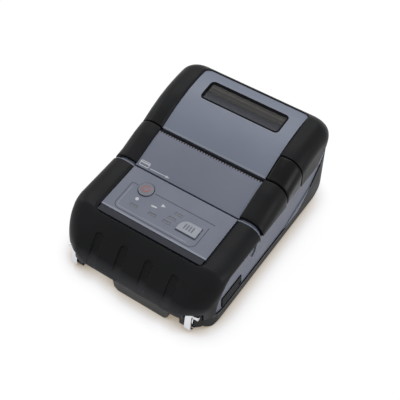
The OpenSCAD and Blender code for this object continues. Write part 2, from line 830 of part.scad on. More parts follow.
// Sheet frame that carries the head, the gears and the platen's bushings
bushing_r = 2.6;
function frame_top(y) = panel_z(y) + crown_h - edge_dip - under_rail - case_wall;
module mechanism_frame() {
    y0 = bulkhead_y;
    y1 = platen_y + 4.6;
    z0 = bay_z1 + bay_t + 0.4;
    color("#8f9296")
    union() {
        block([-frame_x, bulkhead_y, platen_z - 3.2], [frame_x, bulkhead_y + frame_t, frame_top(y0)]);
        for (s = [0, 1]) mirror([s, 0, 0])
            difference() {
                across(frame_x, frame_x + frame_t) {
                    difference() {
                        polygon([
                            [pinion_y - 3, pinion_z - 4], [y1, pinion_z - 4], [y1, platen_z + 2],
                            [platen_y - 4, platen_z + 2], [y0, frame_top(y0)], [y0, idler_z + 3],
                            [pinion_y - 3, idler_z - 2]
                        ]);
                        translate([platen_y, platen_z]) circle(r = bushing_r + slide_gap);
                        translate([platen_y - bushing_r - slide_gap - 0.6, platen_z])
                            square([2 * (bushing_r + slide_gap) + 0.6, 10]);
                    }
                }
                bar(idler_y, idler_z, axle_r, frame_x - 1, frame_x + frame_t + 1);
                bar(pinion_y, pinion_z, 2.5, frame_x - 1, frame_x + frame_t + 1);
            }
    }
}

axle_r = 1.0;
module idler_axle() {
    color("#c5c7ca")
    bar(idler_y, idler_z, axle_r, gear_x - 0.3, -frame_x + 0.8);
}

// Involute gear outline, turned by a
function involute(rb, t) = [
    rb * (cos(t) + t * PI / 180 * sin(t)), rb * (sin(t) - t * PI / 180 * cos(t))
];
function turned(p, a) = [p[0] * cos(a) - p[1] * sin(a), p[0] * sin(a) + p[1] * cos(a)];
function roll_angle(rb, r) = sqrt(max(pow(r / rb, 2) - 1, 0)) * 180 / PI;
function flank(rb, r0, r1, n) =
    let (t0 = roll_angle(rb, r0), t1 = roll_angle(rb, r1))
    [for (i = [0:n]) involute(rb, t0 + (t1 - t0) * i / n)];

module gear_outline(m, teeth, a) {
    pa = 20;
    slack = 0.09;
    rp = m * teeth / 2;
    rb = rp * cos(pa);
    ro = rp + m * 0.92;
    rr = rp - m * 1.2;
    inv = tan(pa) - pa * PI / 180;
    half = 90 / teeth + inv * 180 / PI - slack / rp * 90 / PI;
    root = half + (180 / teeth - half) * 0.45;
    f = flank(rb, max(rr, rb), ro, 4);
    polygon([for (k = [0:teeth - 1]) let (c = a + k * 360 / teeth) each concat(
        [turned([rr, 0], c - root)],
        [for (p = f) turned(p, c - half)],
        [for (i = [4:-1:0]) turned([f[i][0], -f[i][1]], c + half)],
        [turned([rr, 0], c + root)]
    )]);
}

module gear(m, teeth, a, bore) {
    difference() {
        rotate([90, 0, 90]) linear_extrude(height = gear_w) gear_outline(m, teeth, a);
        translate([-1, 0, 0]) rotate([0, 90, 0]) cylinder(r = bore, h = gear_w + 2);
    }
}

// Each gear starts with a tooth of one on the line of centres and a gap of the other
platen_phase = -90 - idler_angle;
idler_phase = 90 - idler_angle + 180 / idler_teeth;
pinion_line = 90 - pinion_angle;
idler_at_pinion = idler_phase - (-90 - pinion_angle);
pinion_phase = pinion_line + 180 / pinion_teeth
    - idler_at_pinion * idler_teeth / pinion_teeth;

module platen_gear() {
    color("#e4e2da")
    translate([gear_x, platen_y, platen_z]) gear(gear_m, platen_teeth, platen_phase, shaft_r - 0.3);
}

module idler_gear() {
    color("#e4e2da")
    translate([gear_x, idler_y, idler_z]) gear(gear_m, idler_teeth, idler_phase, axle_r + bore_gap);
}

module motor_pinion() {
    color("#c9a24a") {
        translate([gear_x, pinion_y, pinion_z]) gear(gear_m, pinion_teeth, pinion_phase, 0.6);
        bar(pinion_y, pinion_z, 0.75, gear_x, -frame_x - frame_t + 0.6);
        bar(pinion_y, pinion_z, 1.2, gear_x + gear_w - e, -frame_x - frame_t - 0.2);
    }
}

module stepper_motor() {
    x0 = -frame_x;
    color("#b4b6ba")
    difference() {
        union() {
            bar(pinion_y, pinion_z, motor_r, x0 + 0.05, x0 + motor_l);
            bar(pinion_y, pinion_z, 2.4, x0 - frame_t + 0.05, x0 + 0.1);
        }
        bar(pinion_y, pinion_z, 0.75 + bore_gap, x0 - frame_t - 1, x0 - frame_t + 0.9);
    }
}

module platen_shaft() {
    color("#c5c7ca") {
        bar(platen_y, platen_z, shaft_r, -(frame_x + frame_t + 0.4), frame_x + frame_t - 0.1);
        bar(platen_y, platen_z, shaft_r - 0.3, gear_x - 0.2, -(frame_x + frame_t + 0.3));
    }
}

module platen_roller() {
    color("#2a2a2c")
    difference() {
        bar(platen_y, platen_z, platen_r, -paper_w / 2 + 0.3, paper_w / 2 - 0.3);
        bar(platen_y, platen_z, shaft_r, -paper_w / 2, paper_w / 2);
    }
}

module platen_bushings() {
    color("#d9d6cc")
    for (s = [0, 1]) mirror([s, 0, 0])
        difference() {
            bar(platen_y, platen_z, bushing_r, bracket_x + bracket_t - 1.2, frame_x + frame_t - 0.2);
            bar(platen_y, platen_z, shaft_r + bore_gap, bracket_x, frame_x + frame_t);
        }
}

// Paper bucket: a half pipe with two cheeks
module paper_bucket() {
    x = paper_w / 2 + 0.3;
    color("#3a3c40")
    difference() {
        across(-x - bucket_t, x + bucket_t)
            intersection() {
                translate([bucket_y, bucket_z]) circle(r = bucket_r + bucket_t);
                translate([bucket_y - 30, bucket_z - 30]) square([60, 30]);
            }
        across(-x, x) translate([bucket_y, bucket_z]) circle(r = bucket_r);
    }
}

// Boards
module main_board() {
    y0 = y_front + 14;
    y1 = pinion_y - motor_r - 1.2;
    color("#2f6b45") {
        difference() {
            block([-hw + 8.5, y0, main_board_z], [hw - 8.5, y1, main_board_z + board_t]);
            for (p = screw_places) translate([p[0], p[1], 0]) cylinder(r = 1.6, h = 40);
        }
    }
    color("#1b1b1d") {
        block([-10, y0 + 8, main_board_z + board_t], [0, y0 + 18, main_board_z + board_t + part_h]);
        block([8, y0 + 10, main_board_z + board_t], [15, y0 + 15, main_board_z + board_t + 1.2]);
    }
}

module key_board() {
    y0 = deck_front_y + 4.8;
    y1 = y_slot - 2.6;
    color("#2f6b45") block([-26, y0, key_board_z - key_board_t], [26, y1, key_board_z]);
    color("#c8c8c8") {
        translate([power_x, power_y, key_board_z]) cylinder(r = 1.8, h = 1.5);
        translate([feed_x, feed_y, key_board_z]) cylinder(r = 1.8, h = 1.5);
    }
    color("#e8e8e0")
    for (p = led_places)
        block([p[0] - 1, y_slot + p[1] - 0.5, key_board_z], [p[0] + 1, y_slot + p[1] + 0.5, key_board_z + 1.6]);
}

module card_reader_head() {
    y0 = y_slot + slot_gap / 2 + 1.4;
    z0 = slot_z - 7.6;
    color("#8a8d92") {
        block([-6, y0 + 0.1, z0], [6, y0 + 4, z0 + 5]);
        block([-11, y0 + 0.1, z0 + 1.4], [11, y0 + 0.6, z0 + 3.6]);
    }
}

// Sockets behind the rubber flap on the right side
port_y0 = y_front + 15.8;
port_y1 = port_y0 + 16;
port_z0 = slot_z - 21.6;
port_z1 = port_z0 + 7;
module port_cut() {
    block([hw - 6, port_y0, port_z0], [hw + 1, port_y1, port_z1]);
}

module port_block() {
    x1 = hw - case_inset - 3.2;
    x0 = bay_x1 + bay_t + 0.4;
    zc = (port_z0 + port_z1) / 2;
    color("#9a9ca0")
    difference() {
        block([x1 - 6, port_y0 + 0.6, port_z0 + 0.2], [x1, port_y1 - 0.6, port_z1 - 0.2]);
        block([x1 - 4, port_y0 + 1.6, zc - 1.3], [x1 + 1, port_y0 + 8.6, zc + 1.3]);
        bar(port_y1 - 3.9, zc, 2.2, x1 - 5, x1 + 1);
    }
}

module port_flap() {
    x1 = hw - case_inset + 0.5;
    g = slide_gap;
    color("#34363a")
    difference() {
        union() {
            block([x1 - 1.6, port_y0 + g + 0.8, port_z0 + g], [x1, port_y1 - g, port_z1 - g]);
            block([x1 - 2.4, port_y0 + 2, port_z0 + 1.4], [x1 - 1.5, port_y1 - 1.4, port_z1 - 1.4]);
            translate([x1 - 0.8, port_y0 + g + 0.8, port_z0 + g]) cylinder(r = 0.8, h = port_z1 - port_z0 - 2 * g);
        }
        translate([x1 + 0.6, port_y1 - 1.6, port_z0 + 2.2]) sphere(r = 1.3, $fn = 24);
    }
}

// Panel buttons
module power_button() {
    z0 = key_board_z + 1.5 + 0.15 + key_travel;
    z1 = panel_z(power_y) + 0.8;
    color("#8f94a6")
    difference() {
        union() {
            translate([power_x, power_y, z0]) cylinder(r = 1.4, h = z1 - z0 - 1);
            translate([power_x, power_y, z1 - 2.6]) cylinder(r = power_r, h = 2.2);
            intersection() {
                translate([power_x, power_y, z1 - 11]) sphere(r = 11);
                translate([power_x, power_y, z1 - 2.6]) cylinder(r = power_r, h = 3);
            }
        }
        translate([power_x, power_y, z0 - 1]) cylinder(r = 0.5, h = 2);
    }
}

module feed_button() {
    z0 = key_board_z + 1.5 + 0.15 + key_travel;
    z1 = panel_z(feed_y) + 0.7;
    color("#c9cbd0") {
        translate([feed_x, feed_y, z0]) cylinder(r = 1.4, h = z1 - z0 - 1);
        feed_form(0, z1 - 2.4, 2.4);
    }
}

// Lid
lid_t = 1.7;
lid_rear_y = y_rear - 5;
window_y0 = y_tear + 22.1;

// Side outline of the lid panel, from depth a to depth b under the arched top
module lid_side(a, b, y0, y1) {
    n = 12;
    ys = steps(y0, y1, n);
    polygon(concat(
        [for (y = ys) [y, lid_line(y) - a]],
        [for (y = reversed(ys)) [y, lid_line(y) - b]]
    ));
}

function lid_line(y) = y < lid_top_y ? lid_z(y)
    : lid_top_z - roll_over_r + sqrt(pow(roll_over_r, 2) - pow(y - lid_top_y, 2));

module lid_shell() {
    color("#7f859b")
    difference() {
        union() {
            across(-panel_hw + 0.15, panel_hw - 0.15) lid_side(0, lid_t, y_lid, lid_rear_y);
            lid_flange(-panel_hw - 3.2, -panel_hw + 1.2, platen_y + platen_r + 0.5);
            lid_flange(panel_hw - 1.2, panel_hw + 3.2, release_y1 + 1);
            for (s = [0, 1]) mirror([s, 0, 0]) lid_bracket();
            lid_knuckles();
        }
        window_form(0.1);
        for (s = [0, 1]) mirror([s, 0, 0])
            bar(platen_y, platen_z, bushing_r, bracket_x + bracket_t - 1.2, bracket_x + bracket_t + 1);
        bar(platen_y, platen_z, shaft_r + 0.4, -bracket_x - bracket_t - 1, bracket_x + bracket_t + 1);
        bar(hinge_y, hinge_z, hinge_pin_r + bore_gap, -knuckle_x1 - 1, knuckle_x1 + 1);
    }
}

// Flange under the rubber on one side, from x0 to x1, stepped down from the lid panel
module lid_flange(x0, x1, y0) {
    under = bumper_t + seat_gap;
    y1 = lid_rear_y - 3;
    across(x0, x1) lid_side(under, under + lid_t, y0, y1);
    across(max(x0, -panel_hw + 0.15), min(x1, panel_hw - 0.15)) lid_side(lid_t - 0.3, under + lid_t, y0, y1);
}

// Plate under the lid that carries one end of the platen
module lid_bracket() {
    across(bracket_x, bracket_x + bracket_t) {
        translate([platen_y, platen_z]) circle(r = 3.6);
        polygon([
            [platen_y, platen_z - 3.6], [platen_y + 14, platen_z - 2], [release_y1 + 14, platen_z + 5],
            [release_y1 + 14, lid_z(release_y1 + 14) - 2.6], [release_y1 + 1, lid_z(release_y1 + 1) - 2.6],
            [release_y1 + 1, platen_z + 2.8], [platen_y, platen_z + 2.8]
        ]);
    }
}

// Knuckles on the hinge pins, outside the lugs
knuckle_x0 = lug_x1 + slide_gap;
knuckle_x1 = knuckle_x0 + 3;
module lid_knuckles() {
    for (s = [0, 1]) mirror([s, 0, 0])
        across(knuckle_x0, knuckle_x1) {
            translate([hinge_y, hinge_z]) circle(r = 2.9);
            polygon([
                [hinge_y - 2.9, hinge_z], [hinge_y + 1, hinge_z + 2.4],
                [lid_rear_y - 3, lid_line(lid_rear_y - 3) - 3], [lid_rear_y - 9, lid_line(lid_rear_y - 9) - 3]
            ]);
        }
}

module lid_bumper() {
    ya = hoop_y;
    ys = concat(
        hoop_ys,
        [for (t = [0.2, 0.4, 0.58, 0.74, 0.86, 0.94, 0.985, 0.999]) lid_top_y + t * roll_over_r]
    );
    color("#2b2d30")
    intersection() {
        difference() {
            union() {
                rail_skin(steps(release_y1 - 0.5, ya, 5), panel_hw, bumper_t);
                mirror([1, 0, 0]) rail_skin(steps(y_tear + e, ya, 9), panel_hw, bumper_t);
                loft(ys, [for (y = ys) concat(
                    hoop_line(y, 0, rail_low(y)),
                    reversed(hoop_line(y, min(bumper_t, (crown_z(y) - rail_low(y)) * 0.8), rail_low(y)))
                )]);
            }
            block([-panel_hw, ya - 5, hinge_z], [panel_hw, lid_rear_y + 0.2, body_h + 1]);
        }
        union() {
            bar(hinge_y, hinge_z, hinge_y - y_lid, -hw - 1, release_x);
            bar(hinge_y, hinge_z, hinge_y - release_y1 - seat_gap, release_x - e, hw + 1);
        }
    }
}

// Barrel that closes the rear gap round the hinge
module lid_barrel() {
    color("#2b2d30")
    difference() {
        intersection() {
            union() {
                bar(hinge_y, hinge_z, barrel_r, -lug_x0 + slide_gap, lug_x0 - slide_gap);
                for (s = [0, 1]) mirror([s, 0, 0])
                    bar(hinge_y, hinge_z, barrel_r, knuckle_x1 + slide_gap, hw - 5.3);
            }
            linear_extrude(height = body_h) plan(2);
        }
        bar(hinge_y, hinge_z, hinge_pin_r + 0.4, -hw, hw);
    }
}

// The window's plan, rounded at its corners, as an upright body
module window_form(grow) {
    w = window_w / 2 + grow;
    r = window_r + grow;
    y0 = window_y0 - grow;
    y1 = window_y0 + window_l + grow;
    for (x = [r - w, w - r])
        for (y = [y0 + r, y1 - r])
            translate([x, y, 0]) cylinder(h = body_h + 5, r = r);
    block([r - w, y0, 0], [w - r, y1, body_h + 5]);
    block([-w, y0 + r, 0], [w, y1 - r, body_h + 5]);
}

module lid_window() {
    w = window_w / 2;
    color([0.16, 0.16, 0.18, 0.75])
    intersection() {
        across(-w, w) lid_side(0.25, 1.35, window_y0 - 2, window_y0 + window_l + 2);
        window_form(0);
    }
}

module hinge_pins() {
    color("#b9bbbe")
    for (s = [0, 1]) mirror([s, 0, 0])
        bar(hinge_y, hinge_z, hinge_pin_r, lug_x0, knuckle_x1 - 0.2);
}

// Battery pack with its nose under the front lip
module battery_pack() {
    y1 = pack_front_y + pack_l;
    z1 = pack_floor + pack_h;
    color("#2e3033")
    difference() {
        union() {
            block([pack_x - pack_w / 2, pack_front_y + nose_l, pack_floor], [pack_x + pack_w / 2, y1, z1]);
            translate([pack_x, pack_front_y + nose_l + 0.5, pack_floor]) rotate([90, 0, 0])
                linear_extrude(height = nose_l + 0.5)
                polygon([
                    [-nose_w / 2 + 2.5, 0], [nose_w / 2 - 2.5, 0], [nose_w / 2 - 0.7, 2],
                    [nose_w / 2, nose_top - pack_floor], [-nose_w / 2, nose_top - pack_floor],
                    [-nose_w / 2 + 0.7, 2]
                ]);
        }
        for (x = [-3, 0, 3])
            block([pack_x + x - 0.75, y1 - 1.4, 6], [pack_x + x + 0.75, y1 + 1, z1 + 1]);
    }
}

module battery_contacts() {
    y1 = pack_front_y + pack_l;
    color("#c9a24a")
    for (x = [-3, 0, 3])
        block([pack_x + x - 0.4, y1 - 1.1, 7], [pack_x + x + 0.4, bay_y1, 9]);
}

// Strap loops
module strap_pins() {
    color("#d2d4d6")
    for (s = [-1, 1])
        bar(loop_y, loop_z, loop_pin_r, s * loop_x - loop_pin_half, s * loop_x + loop_pin_half);
}

module loop_outline(r0, r1) {
    hull() {
        translate([0, 0]) circle(r = r0, $fn = 32);
        translate([0, -loop_drop]) circle(r = r1, $fn = 32);
    }
}

module strap_loop() {
    r = loop_pin_r + 0.06;
    translate([0, loop_y, loop_z])
        across(-loop_w / 2, loop_w / 2)
            difference() {
                loop_outline(r + loop_t, loop_in_r + loop_t);
                loop_outline(r, loop_in_r);
            }
}

module strap_loop_left() { color("#d2d4d6") translate([-loop_x, 0, 0]) strap_loop(); }
module strap_loop_right() { color("#d2d4d6") translate([loop_x, 0, 0]) strap_loop(); }

module case_screws() {
    color("#6e7074")
    for (p = screw_places) translate([p[0], p[1], 0.1]) {
        difference() {
            cylinder(r = 1.9, h = 1.1);
            translate([0, 0, -0.1]) cylinder(r = 0.9, h = 0.8, $fn = 6);
        }
        translate([0, 0, 1]) cylinder(r = screw_hole_r - 0.02, h = seam_z + 2);
    }
}

module paper_sensor() {
    y0 = bucket_y - bucket_r - bucket_t + 0.2;
    color("#1b1b1d")
    block([14, y0, bucket_z], [18, y0 + 3, bucket_z + 1.8]);
}

base_shell();
upper_case();
mid_cover();
front_bumper();
rail_left();
rail_right();
ir_window();
light_pipes();
tear_bar();
print_head();
heat_sink();
head_spring();
mechanism_frame();
stepper_motor();
motor_pinion();
idler_gear();
idler_axle();
main_board();
key_board();
card_reader_head();
port_block();
port_flap();
power_button();
feed_button();
release_button();
paper_bucket();
lid_shell();
lid_bumper();
lid_window();
lid_barrel();
hinge_pins();
platen_roller();
platen_shaft();
platen_gear();
platen_bushings();
battery_pack();
battery_contacts();
strap_pins();
strap_loop_left();
strap_loop_right();
case_screws();
paper_sensor();
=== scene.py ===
import math

import bmesh
import bpy
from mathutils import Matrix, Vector


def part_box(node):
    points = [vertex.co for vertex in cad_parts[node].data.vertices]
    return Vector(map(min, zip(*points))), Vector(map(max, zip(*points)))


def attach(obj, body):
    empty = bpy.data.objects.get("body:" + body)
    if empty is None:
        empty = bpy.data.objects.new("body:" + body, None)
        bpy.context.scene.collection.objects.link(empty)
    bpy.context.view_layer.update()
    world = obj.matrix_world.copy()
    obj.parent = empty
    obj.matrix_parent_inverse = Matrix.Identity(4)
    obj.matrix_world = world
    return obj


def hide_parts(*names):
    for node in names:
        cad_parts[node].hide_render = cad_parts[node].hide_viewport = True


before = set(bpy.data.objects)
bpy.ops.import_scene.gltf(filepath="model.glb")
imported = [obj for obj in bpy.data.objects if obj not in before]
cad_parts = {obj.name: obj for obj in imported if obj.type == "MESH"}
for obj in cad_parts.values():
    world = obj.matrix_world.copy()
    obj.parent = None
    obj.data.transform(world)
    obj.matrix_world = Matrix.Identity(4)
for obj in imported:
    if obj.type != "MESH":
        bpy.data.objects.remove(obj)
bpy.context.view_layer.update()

scene = bpy.context.scene
scene.view_settings.view_transform = "Standard"

# ---------------------------------------------------------------- camera, in metres and degrees

CAMERA_PLACE = (0.14993, -0.21858, 0.34243)
CAMERA_TILT = 39
CAMERA_TURN = 34.18
CAMERA_LENS = 80.17
CAMERA_SENSOR = 36

cam_data = bpy.data.cameras.new("camera")
cam_data.lens = CAMERA_LENS
cam_data.sensor_width = CAMERA_SENSOR
cam_data.clip_start = 0.01
cam_data.clip_end = 20
cam = bpy.data.objects.new("camera", cam_data)
cam.location = CAMERA_PLACE
cam.rotation_euler = (math.radians(CAMERA_TILT), 0, math.radians(CAMERA_TURN))
scene.collection.objects.link(cam)
scene.camera = cam

# ---------------------------------------------------------------- lamps, world and floor, in metres

# place, point aimed at, size, power in watts
LAMPS = {
    "light_top": ((-0.25, 0.45, 0.85), (0, 0, 0.03), (0.8, 0.6), 3.0),
    "light_left": ((-0.85, -0.05, 0.5), (0, 0, 0.03), (0.5, 0.4), 1.3),
    "light_right": ((0.95, 0.05, 0.42), (0, 0, 0.02), (0.5, 0.5), 3.1),
}
FILL_STRENGTH = 0.30
FILL_COLOR = (0.97, 0.98, 1.0, 1)
BACK_COLOR = (1, 1, 1, 1)
FLOOR_HALF = 6
FLOOR_DROP = 0.00005
FLOOR_DIFFUSE = (0.20, 0.20, 0.202, 1)
FLOOR_GLOW = 0.90
FLOOR_SHADE_REACH = 0.011
# colour of the floor from the darkest corner under the object to the open floor
FLOOR_SHADES = (
    (0.05, (0.30, 0.24, 0.17)),
    (0.32, (0.38, 0.32, 0.24)),
    (0.56, (0.62, 0.57, 0.51)),
    (0.80, (0.92, 0.92, 0.94)),
    (0.96, (1, 1, 1)),
)


def area(name, place, aim, size, power):
    data = bpy.data.lights.new(name, "AREA")
    data.shape = "RECTANGLE"
    data.size, data.size_y = size
    data.energy = power
    ob = bpy.data.objects.new(name, data)
    ob.location = place
    ob.rotation_euler = (Vector(aim) - Vector(place)).to_track_quat("-Z", "Y").to_euler()
    scene.collection.objects.link(ob)


def reckon(t, operation, *values):
    """Math node on sockets and numbers."""
    n = t.nodes.new("ShaderNodeMath")
    n.operation = operation
    for socket, value in zip(n.inputs, values):
        if isinstance(value, bpy.types.NodeSocket):
            t.links.new(value, socket)
        else:
            socket.default_value = value
    return n.outputs[0]


def ramp(t, fac, stops):
    """Colour ramp through (position, colour) stops."""
    r = t.nodes.new("ShaderNodeValToRGB")
    e = r.color_ramp.elements
    e[0].position, e[0].color = stops[0][0], (*stops[0][1], 1)
    e[1].position, e[1].color = stops[-1][0], (*stops[-1][1], 1)
    for p, c in stops[1:-1]:
        e.new(p).color = (*c, 1)
    t.links.new(fac, r.inputs["Fac"])
    return r.outputs["Color"]


def seen(t):
    """1 for camera, glossy and transmission rays."""
    path = t.nodes.new("ShaderNodeLightPath").outputs
    direct = reckon(t, "MAXIMUM", path["Is Camera Ray"], path["Is Glossy Ray"])
    return reckon(t, "MAXIMUM", direct, path["Is Transmission Ray"])


def background(t, color, strength):
    n = t.nodes.new("ShaderNodeBackground")
    n.inputs["Color"].default_value = color
    n.inputs["Strength"].default_value = strength
    return n.outputs[0]


def white_world():
    """White where it is seen, and a weaker fill light elsewhere."""
    world = bpy.data.worlds.new("studio")
    scene.world = world
    world.use_nodes = True
    t = world.node_tree
    t.nodes.clear()
    out = t.nodes.new("ShaderNodeOutputWorld")
    mix = t.nodes.new("ShaderNodeMixShader")
    t.links.new(seen(t), mix.inputs["Fac"])
    t.links.new(background(t, FILL_COLOR, FILL_STRENGTH), mix.inputs[1])
    t.links.new(background(t, BACK_COLOR, 1.0), mix.inputs[2])
    t.links.new(mix.outputs[0], out.inputs["Surface"])


def floor_material():
    """White floor with a warm contact shadow."""
    m = bpy.data.materials.new("floor_white")
    m.use_nodes = True
    t = m.node_tree
    t.nodes.clear()
    out = t.nodes.new("ShaderNodeOutputMaterial")
    add = t.nodes.new("ShaderNodeAddShader")
    diffuse = t.nodes.new("ShaderNodeBsdfDiffuse")
    diffuse.inputs["Color"].default_value = FLOOR_DIFFUSE
    glow = t.nodes.new("ShaderNodeEmission")
    t.links.new(reckon(t, "MULTIPLY", seen(t), FLOOR_GLOW), glow.inputs["Strength"])
    shade = t.nodes.new("ShaderNodeAmbientOcclusion")
    shade.samples = 12
    shade.inputs["Distance"].default_value = FLOOR_SHADE_REACH
    t.links.new(ramp(t, shade.outputs["AO"], FLOOR_SHADES), glow.inputs["Color"])
    t.links.new(diffuse.outputs[0], add.inputs[0])
    t.links.new(glow.outputs[0], add.inputs[1])
    t.links.new(add.outputs[0], out.inputs["Surface"])
    return m


def lay_floor():
    h = FLOOR_HALF
    mesh = bpy.data.meshes.new("floor")
    mesh.from_pydata([(-h, -h, 0), (h, -h, 0), (h, h, 0), (-h, h, 0)], [], [(0, 1, 2, 3)])
    floor = bpy.data.objects.new("floor", mesh)
    floor.location = (0, 0, -FLOOR_DROP)
    scene.collection.objects.link(floor)
    mesh.materials.append(floor_material())


for lamp, facts in LAMPS.items():
    area(lamp, *facts)
white_world()
lay_floor()

# ---------------------------------------------------------------- sizes, in millimetres

# sizes that the rest follows from
paper_w = 58
side_w = 12
roll_r = 18.5
deck_l = 47
slot_to_tear = 21.2
tear_rise = 6.1
lid_rise = 8.9
bumper_t = 1.7
front_corner_r = 17.5
rear_corner_r = 11
shoulder_r = 7.5
crown_h = 1.3
notch_l = 2.4
release_l = 12.2
slot_z = 31

# overall size and main lines, with y 0 in the middle and z 0 on the floor
rear_l = 2 * roll_r + 7.8
body_l = deck_l + slot_to_tear + rear_l
body_h = slot_z + tear_rise + lid_rise
hw = paper_w / 2 + side_w
panel_hw = paper_w / 2 - 0.5
y_front = -body_l / 2
y_rear = body_l / 2
y_slot = y_front + deck_l
y_tear = y_slot + slot_to_tear
tear_z = slot_z + tear_rise
hinge_z = body_h - 10

# falls of the grey top, arch and rear of the lid, and height of the rubber above them
deck_fall = 0.05
crease_back = 6.2
crease_drop = 1.2
lid_top_y = y_rear - 9.5
lid_top_z = body_h - 0.7
y_lid = y_tear + 0.8
lid_arc_r = (lid_top_y - y_lid) ** 2 / (2 * (lid_top_z - tear_z + 0.1))
roll_over_r = 9.5
rear_crown_h = 0.7
crown_ease_y = 28
crown_ease_l = 16

# slope, nose and lip at the front
slope_y = y_front + 15
nose_z = 12.6
nose_low = 11.9
lip_z = 8.6
lip_l = 4
nose_r = 4.5
nose_out = 0.234
nose_down = 0.643
slope_bulge = 1.2
slope_edge_l = 3
deck_front_y = y_front + 17.5

# lower edge of the rubber and its fall towards the grey top
rail_low_z = slot_z - 4.4
rail_up_y = y_front + 23
rail_down_y = y_front + 12
lid_low_z = slot_z - 3
lid_sweep_y = y_rear - 17.2
edge_dip = 0.7
dip_l = 4
dip_rear_y = y_rear - 20

# places of the rails, the release button, the lid's rear, the window and the two buttons
rail_end_y = y_tear - 0.2
release_y0 = y_tear + 0.5
release_y1 = release_y0 + release_l
lid_rear_y = y_rear - 5
window_y0 = y_tear + 22.1
window_w = 42.4
window_l = 11
power_x = -15.5
power_y = y_slot - 8.9
feed_x = 13.2
feed_y = y_slot - 16.4


def lid_z(y):
    """Height of the lid's arch."""
    return lid_top_z - max(lid_top_y - y, 0) ** 2 / (2 * lid_arc_r)


def panel_z(y):
    """Height of the grey top, from the deck over the mid cover to the lid."""
    if y < y_slot:
        return slot_z + (y - y_slot) * deck_fall
    if y < y_tear - crease_back:
        return slot_z + (y - y_slot) * (tear_rise - crease_drop) / (slot_to_tear - crease_back)
    if y < y_lid:
        return tear_z - (y_tear - y) * crease_drop / crease_back
    return lid_z(y)


def crown(y):
    """How far the rubber stands above the grey top."""
    ease = min(max((y - crown_ease_y) / crown_ease_l, 0), 1)
    return crown_h + (rear_crown_h - crown_h) * ease


def slope_z(y):
    """Height of the slope from the nose up to the deck."""
    d = slope_y - y
    run = slope_y - y_front
    top = panel_z(slope_y) - 0.1
    return top - (top - nose_z) * d / run + slope_bulge * 4 * d * (run - d) / (run * run)


nose_y = y_front + nose_out * nose_r
nose_mid = slope_z(nose_y) - nose_down * nose_r


def crown_z(y):
    """Height of the rubber's top line."""
    if y < nose_y:
        return nose_mid + math.sqrt(max(nose_r ** 2 - (y_front + nose_r - y) ** 2, 0))
    if y < slope_y:
        return slope_z(y)
    if y < slope_y + slope_edge_l:
        rise = panel_z(slope_y + slope_edge_l) + crown_h - slope_z(slope_y)
        turn = math.radians(90 / slope_edge_l * (y - slope_y))
        return slope_z(slope_y) + rise * math.sin(turn)
    if y < lid_top_y:
        return panel_z(y) + crown(y)
    roll_z = lid_top_z + rear_crown_h - roll_over_r
    return roll_z + math.sqrt(max(roll_over_r ** 2 - (y - lid_top_y) ** 2, 0))


def half_w(y):
    """Half width of the body in plan."""
    fc = y_front + front_corner_r
    rc = y_rear - rear_corner_r
    if y < fc:
        return hw - front_corner_r + math.sqrt(max(front_corner_r ** 2 - (fc - y) ** 2, 0))
    if y > rc:
        return hw - rear_corner_r + math.sqrt(max(rear_corner_r ** 2 - (y - rc) ** 2, 0))
    return hw


def rail_low(y):
    """Height of the rubber's lower edge."""
    if y < y_front + lip_l:
        return lip_z + (nose_low - lip_z) * ((y_front + lip_l - y) / lip_l) ** 1.2
    if y < rail_down_y:
        return lip_z
    if y < rail_up_y:
        run = (rail_up_y - y) / (rail_up_y - rail_down_y)
        return lip_z + (rail_low_z - lip_z) * math.sqrt(1 - run ** 2)
    if y < y_tear:
        return rail_low_z
    return min(lid_low_z + max(y - lid_sweep_y, 0), hinge_z + 2)


def dip(y):
    """How far the rubber falls towards its edge at the grey top."""
    if y < slope_y:
        return 0
    if y < slope_y + dip_l:
        return edge_dip * (y - slope_y) / dip_l
    if y < dip_rear_y:
        return edge_dip
    if y < lid_top_y:
        return edge_dip * (lid_top_y - y) / (lid_top_y - dip_rear_y)
    return 0


def span(a, b, n):
    """n + 1 even steps from a to b."""
    return [a + (b - a) * i / n for i in range(n + 1)]


# shoulder of a rubber section: points on its corner, its least radius, and its radius and the
# share of the flat top where the front grows narrow
corner_n = 16
least_r = 0.4
narrow_r, narrow_r_share = 2.5, 0.3
narrow_top_share = 0.96


def half_line(y, d, low, cols=0, x0=None):
    """Right half of a rubber section at y, drawn inwards by d and down to the height low.

    It starts at x0 or, with cols points across the top, at the middle.
    """
    top = crown_z(y) - d
    w = half_w(y) - d
    r = shoulder_r - d
    if x0 is None:
        rx = max(min(r, w - panel_hw - least_r), min(w * narrow_r_share, narrow_r), least_r)
        x0 = min(panel_hw, (w - rx) * narrow_top_share)
    else:
        rx = max(min(r, w - x0 - least_r), least_r)
    rz = max(min(r, top - low - 0.1), 0.05)
    pts = [(x0 * i / cols, top - dip(y)) for i in range(cols)]
    for s in span(0, 1, 5)[:-1]:
        pts.append((x0 + (w - rx - x0) * s, top - dip(y) * (1 - s) ** 2))
    for i in range(corner_n + 1):
        a = math.radians(90 * i / corner_n)
        pts.append((w - rx + rx * math.sin(a), top - rz + rz * math.cos(a)))
    end = min(low, top - rz - 0.02)
    for s in (0.34, 0.67, 1):
        pts.append((w, top - rz + (end - top + rz) * s))
    return pts


def mirrored(pts):
    """Whole section from its right half."""
    return [(-x, z) for x, z in reversed(pts[1:])] + pts


def new_object(name, mesh, mat, body):
    """Object that rides on a body of the frame and wears one material."""
    ob = bpy.data.objects.new(name, mesh)
    scene.collection.objects.link(ob)
    mesh.materials.clear()
    mesh.materials.append(mat)
    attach(ob, body)
    return ob


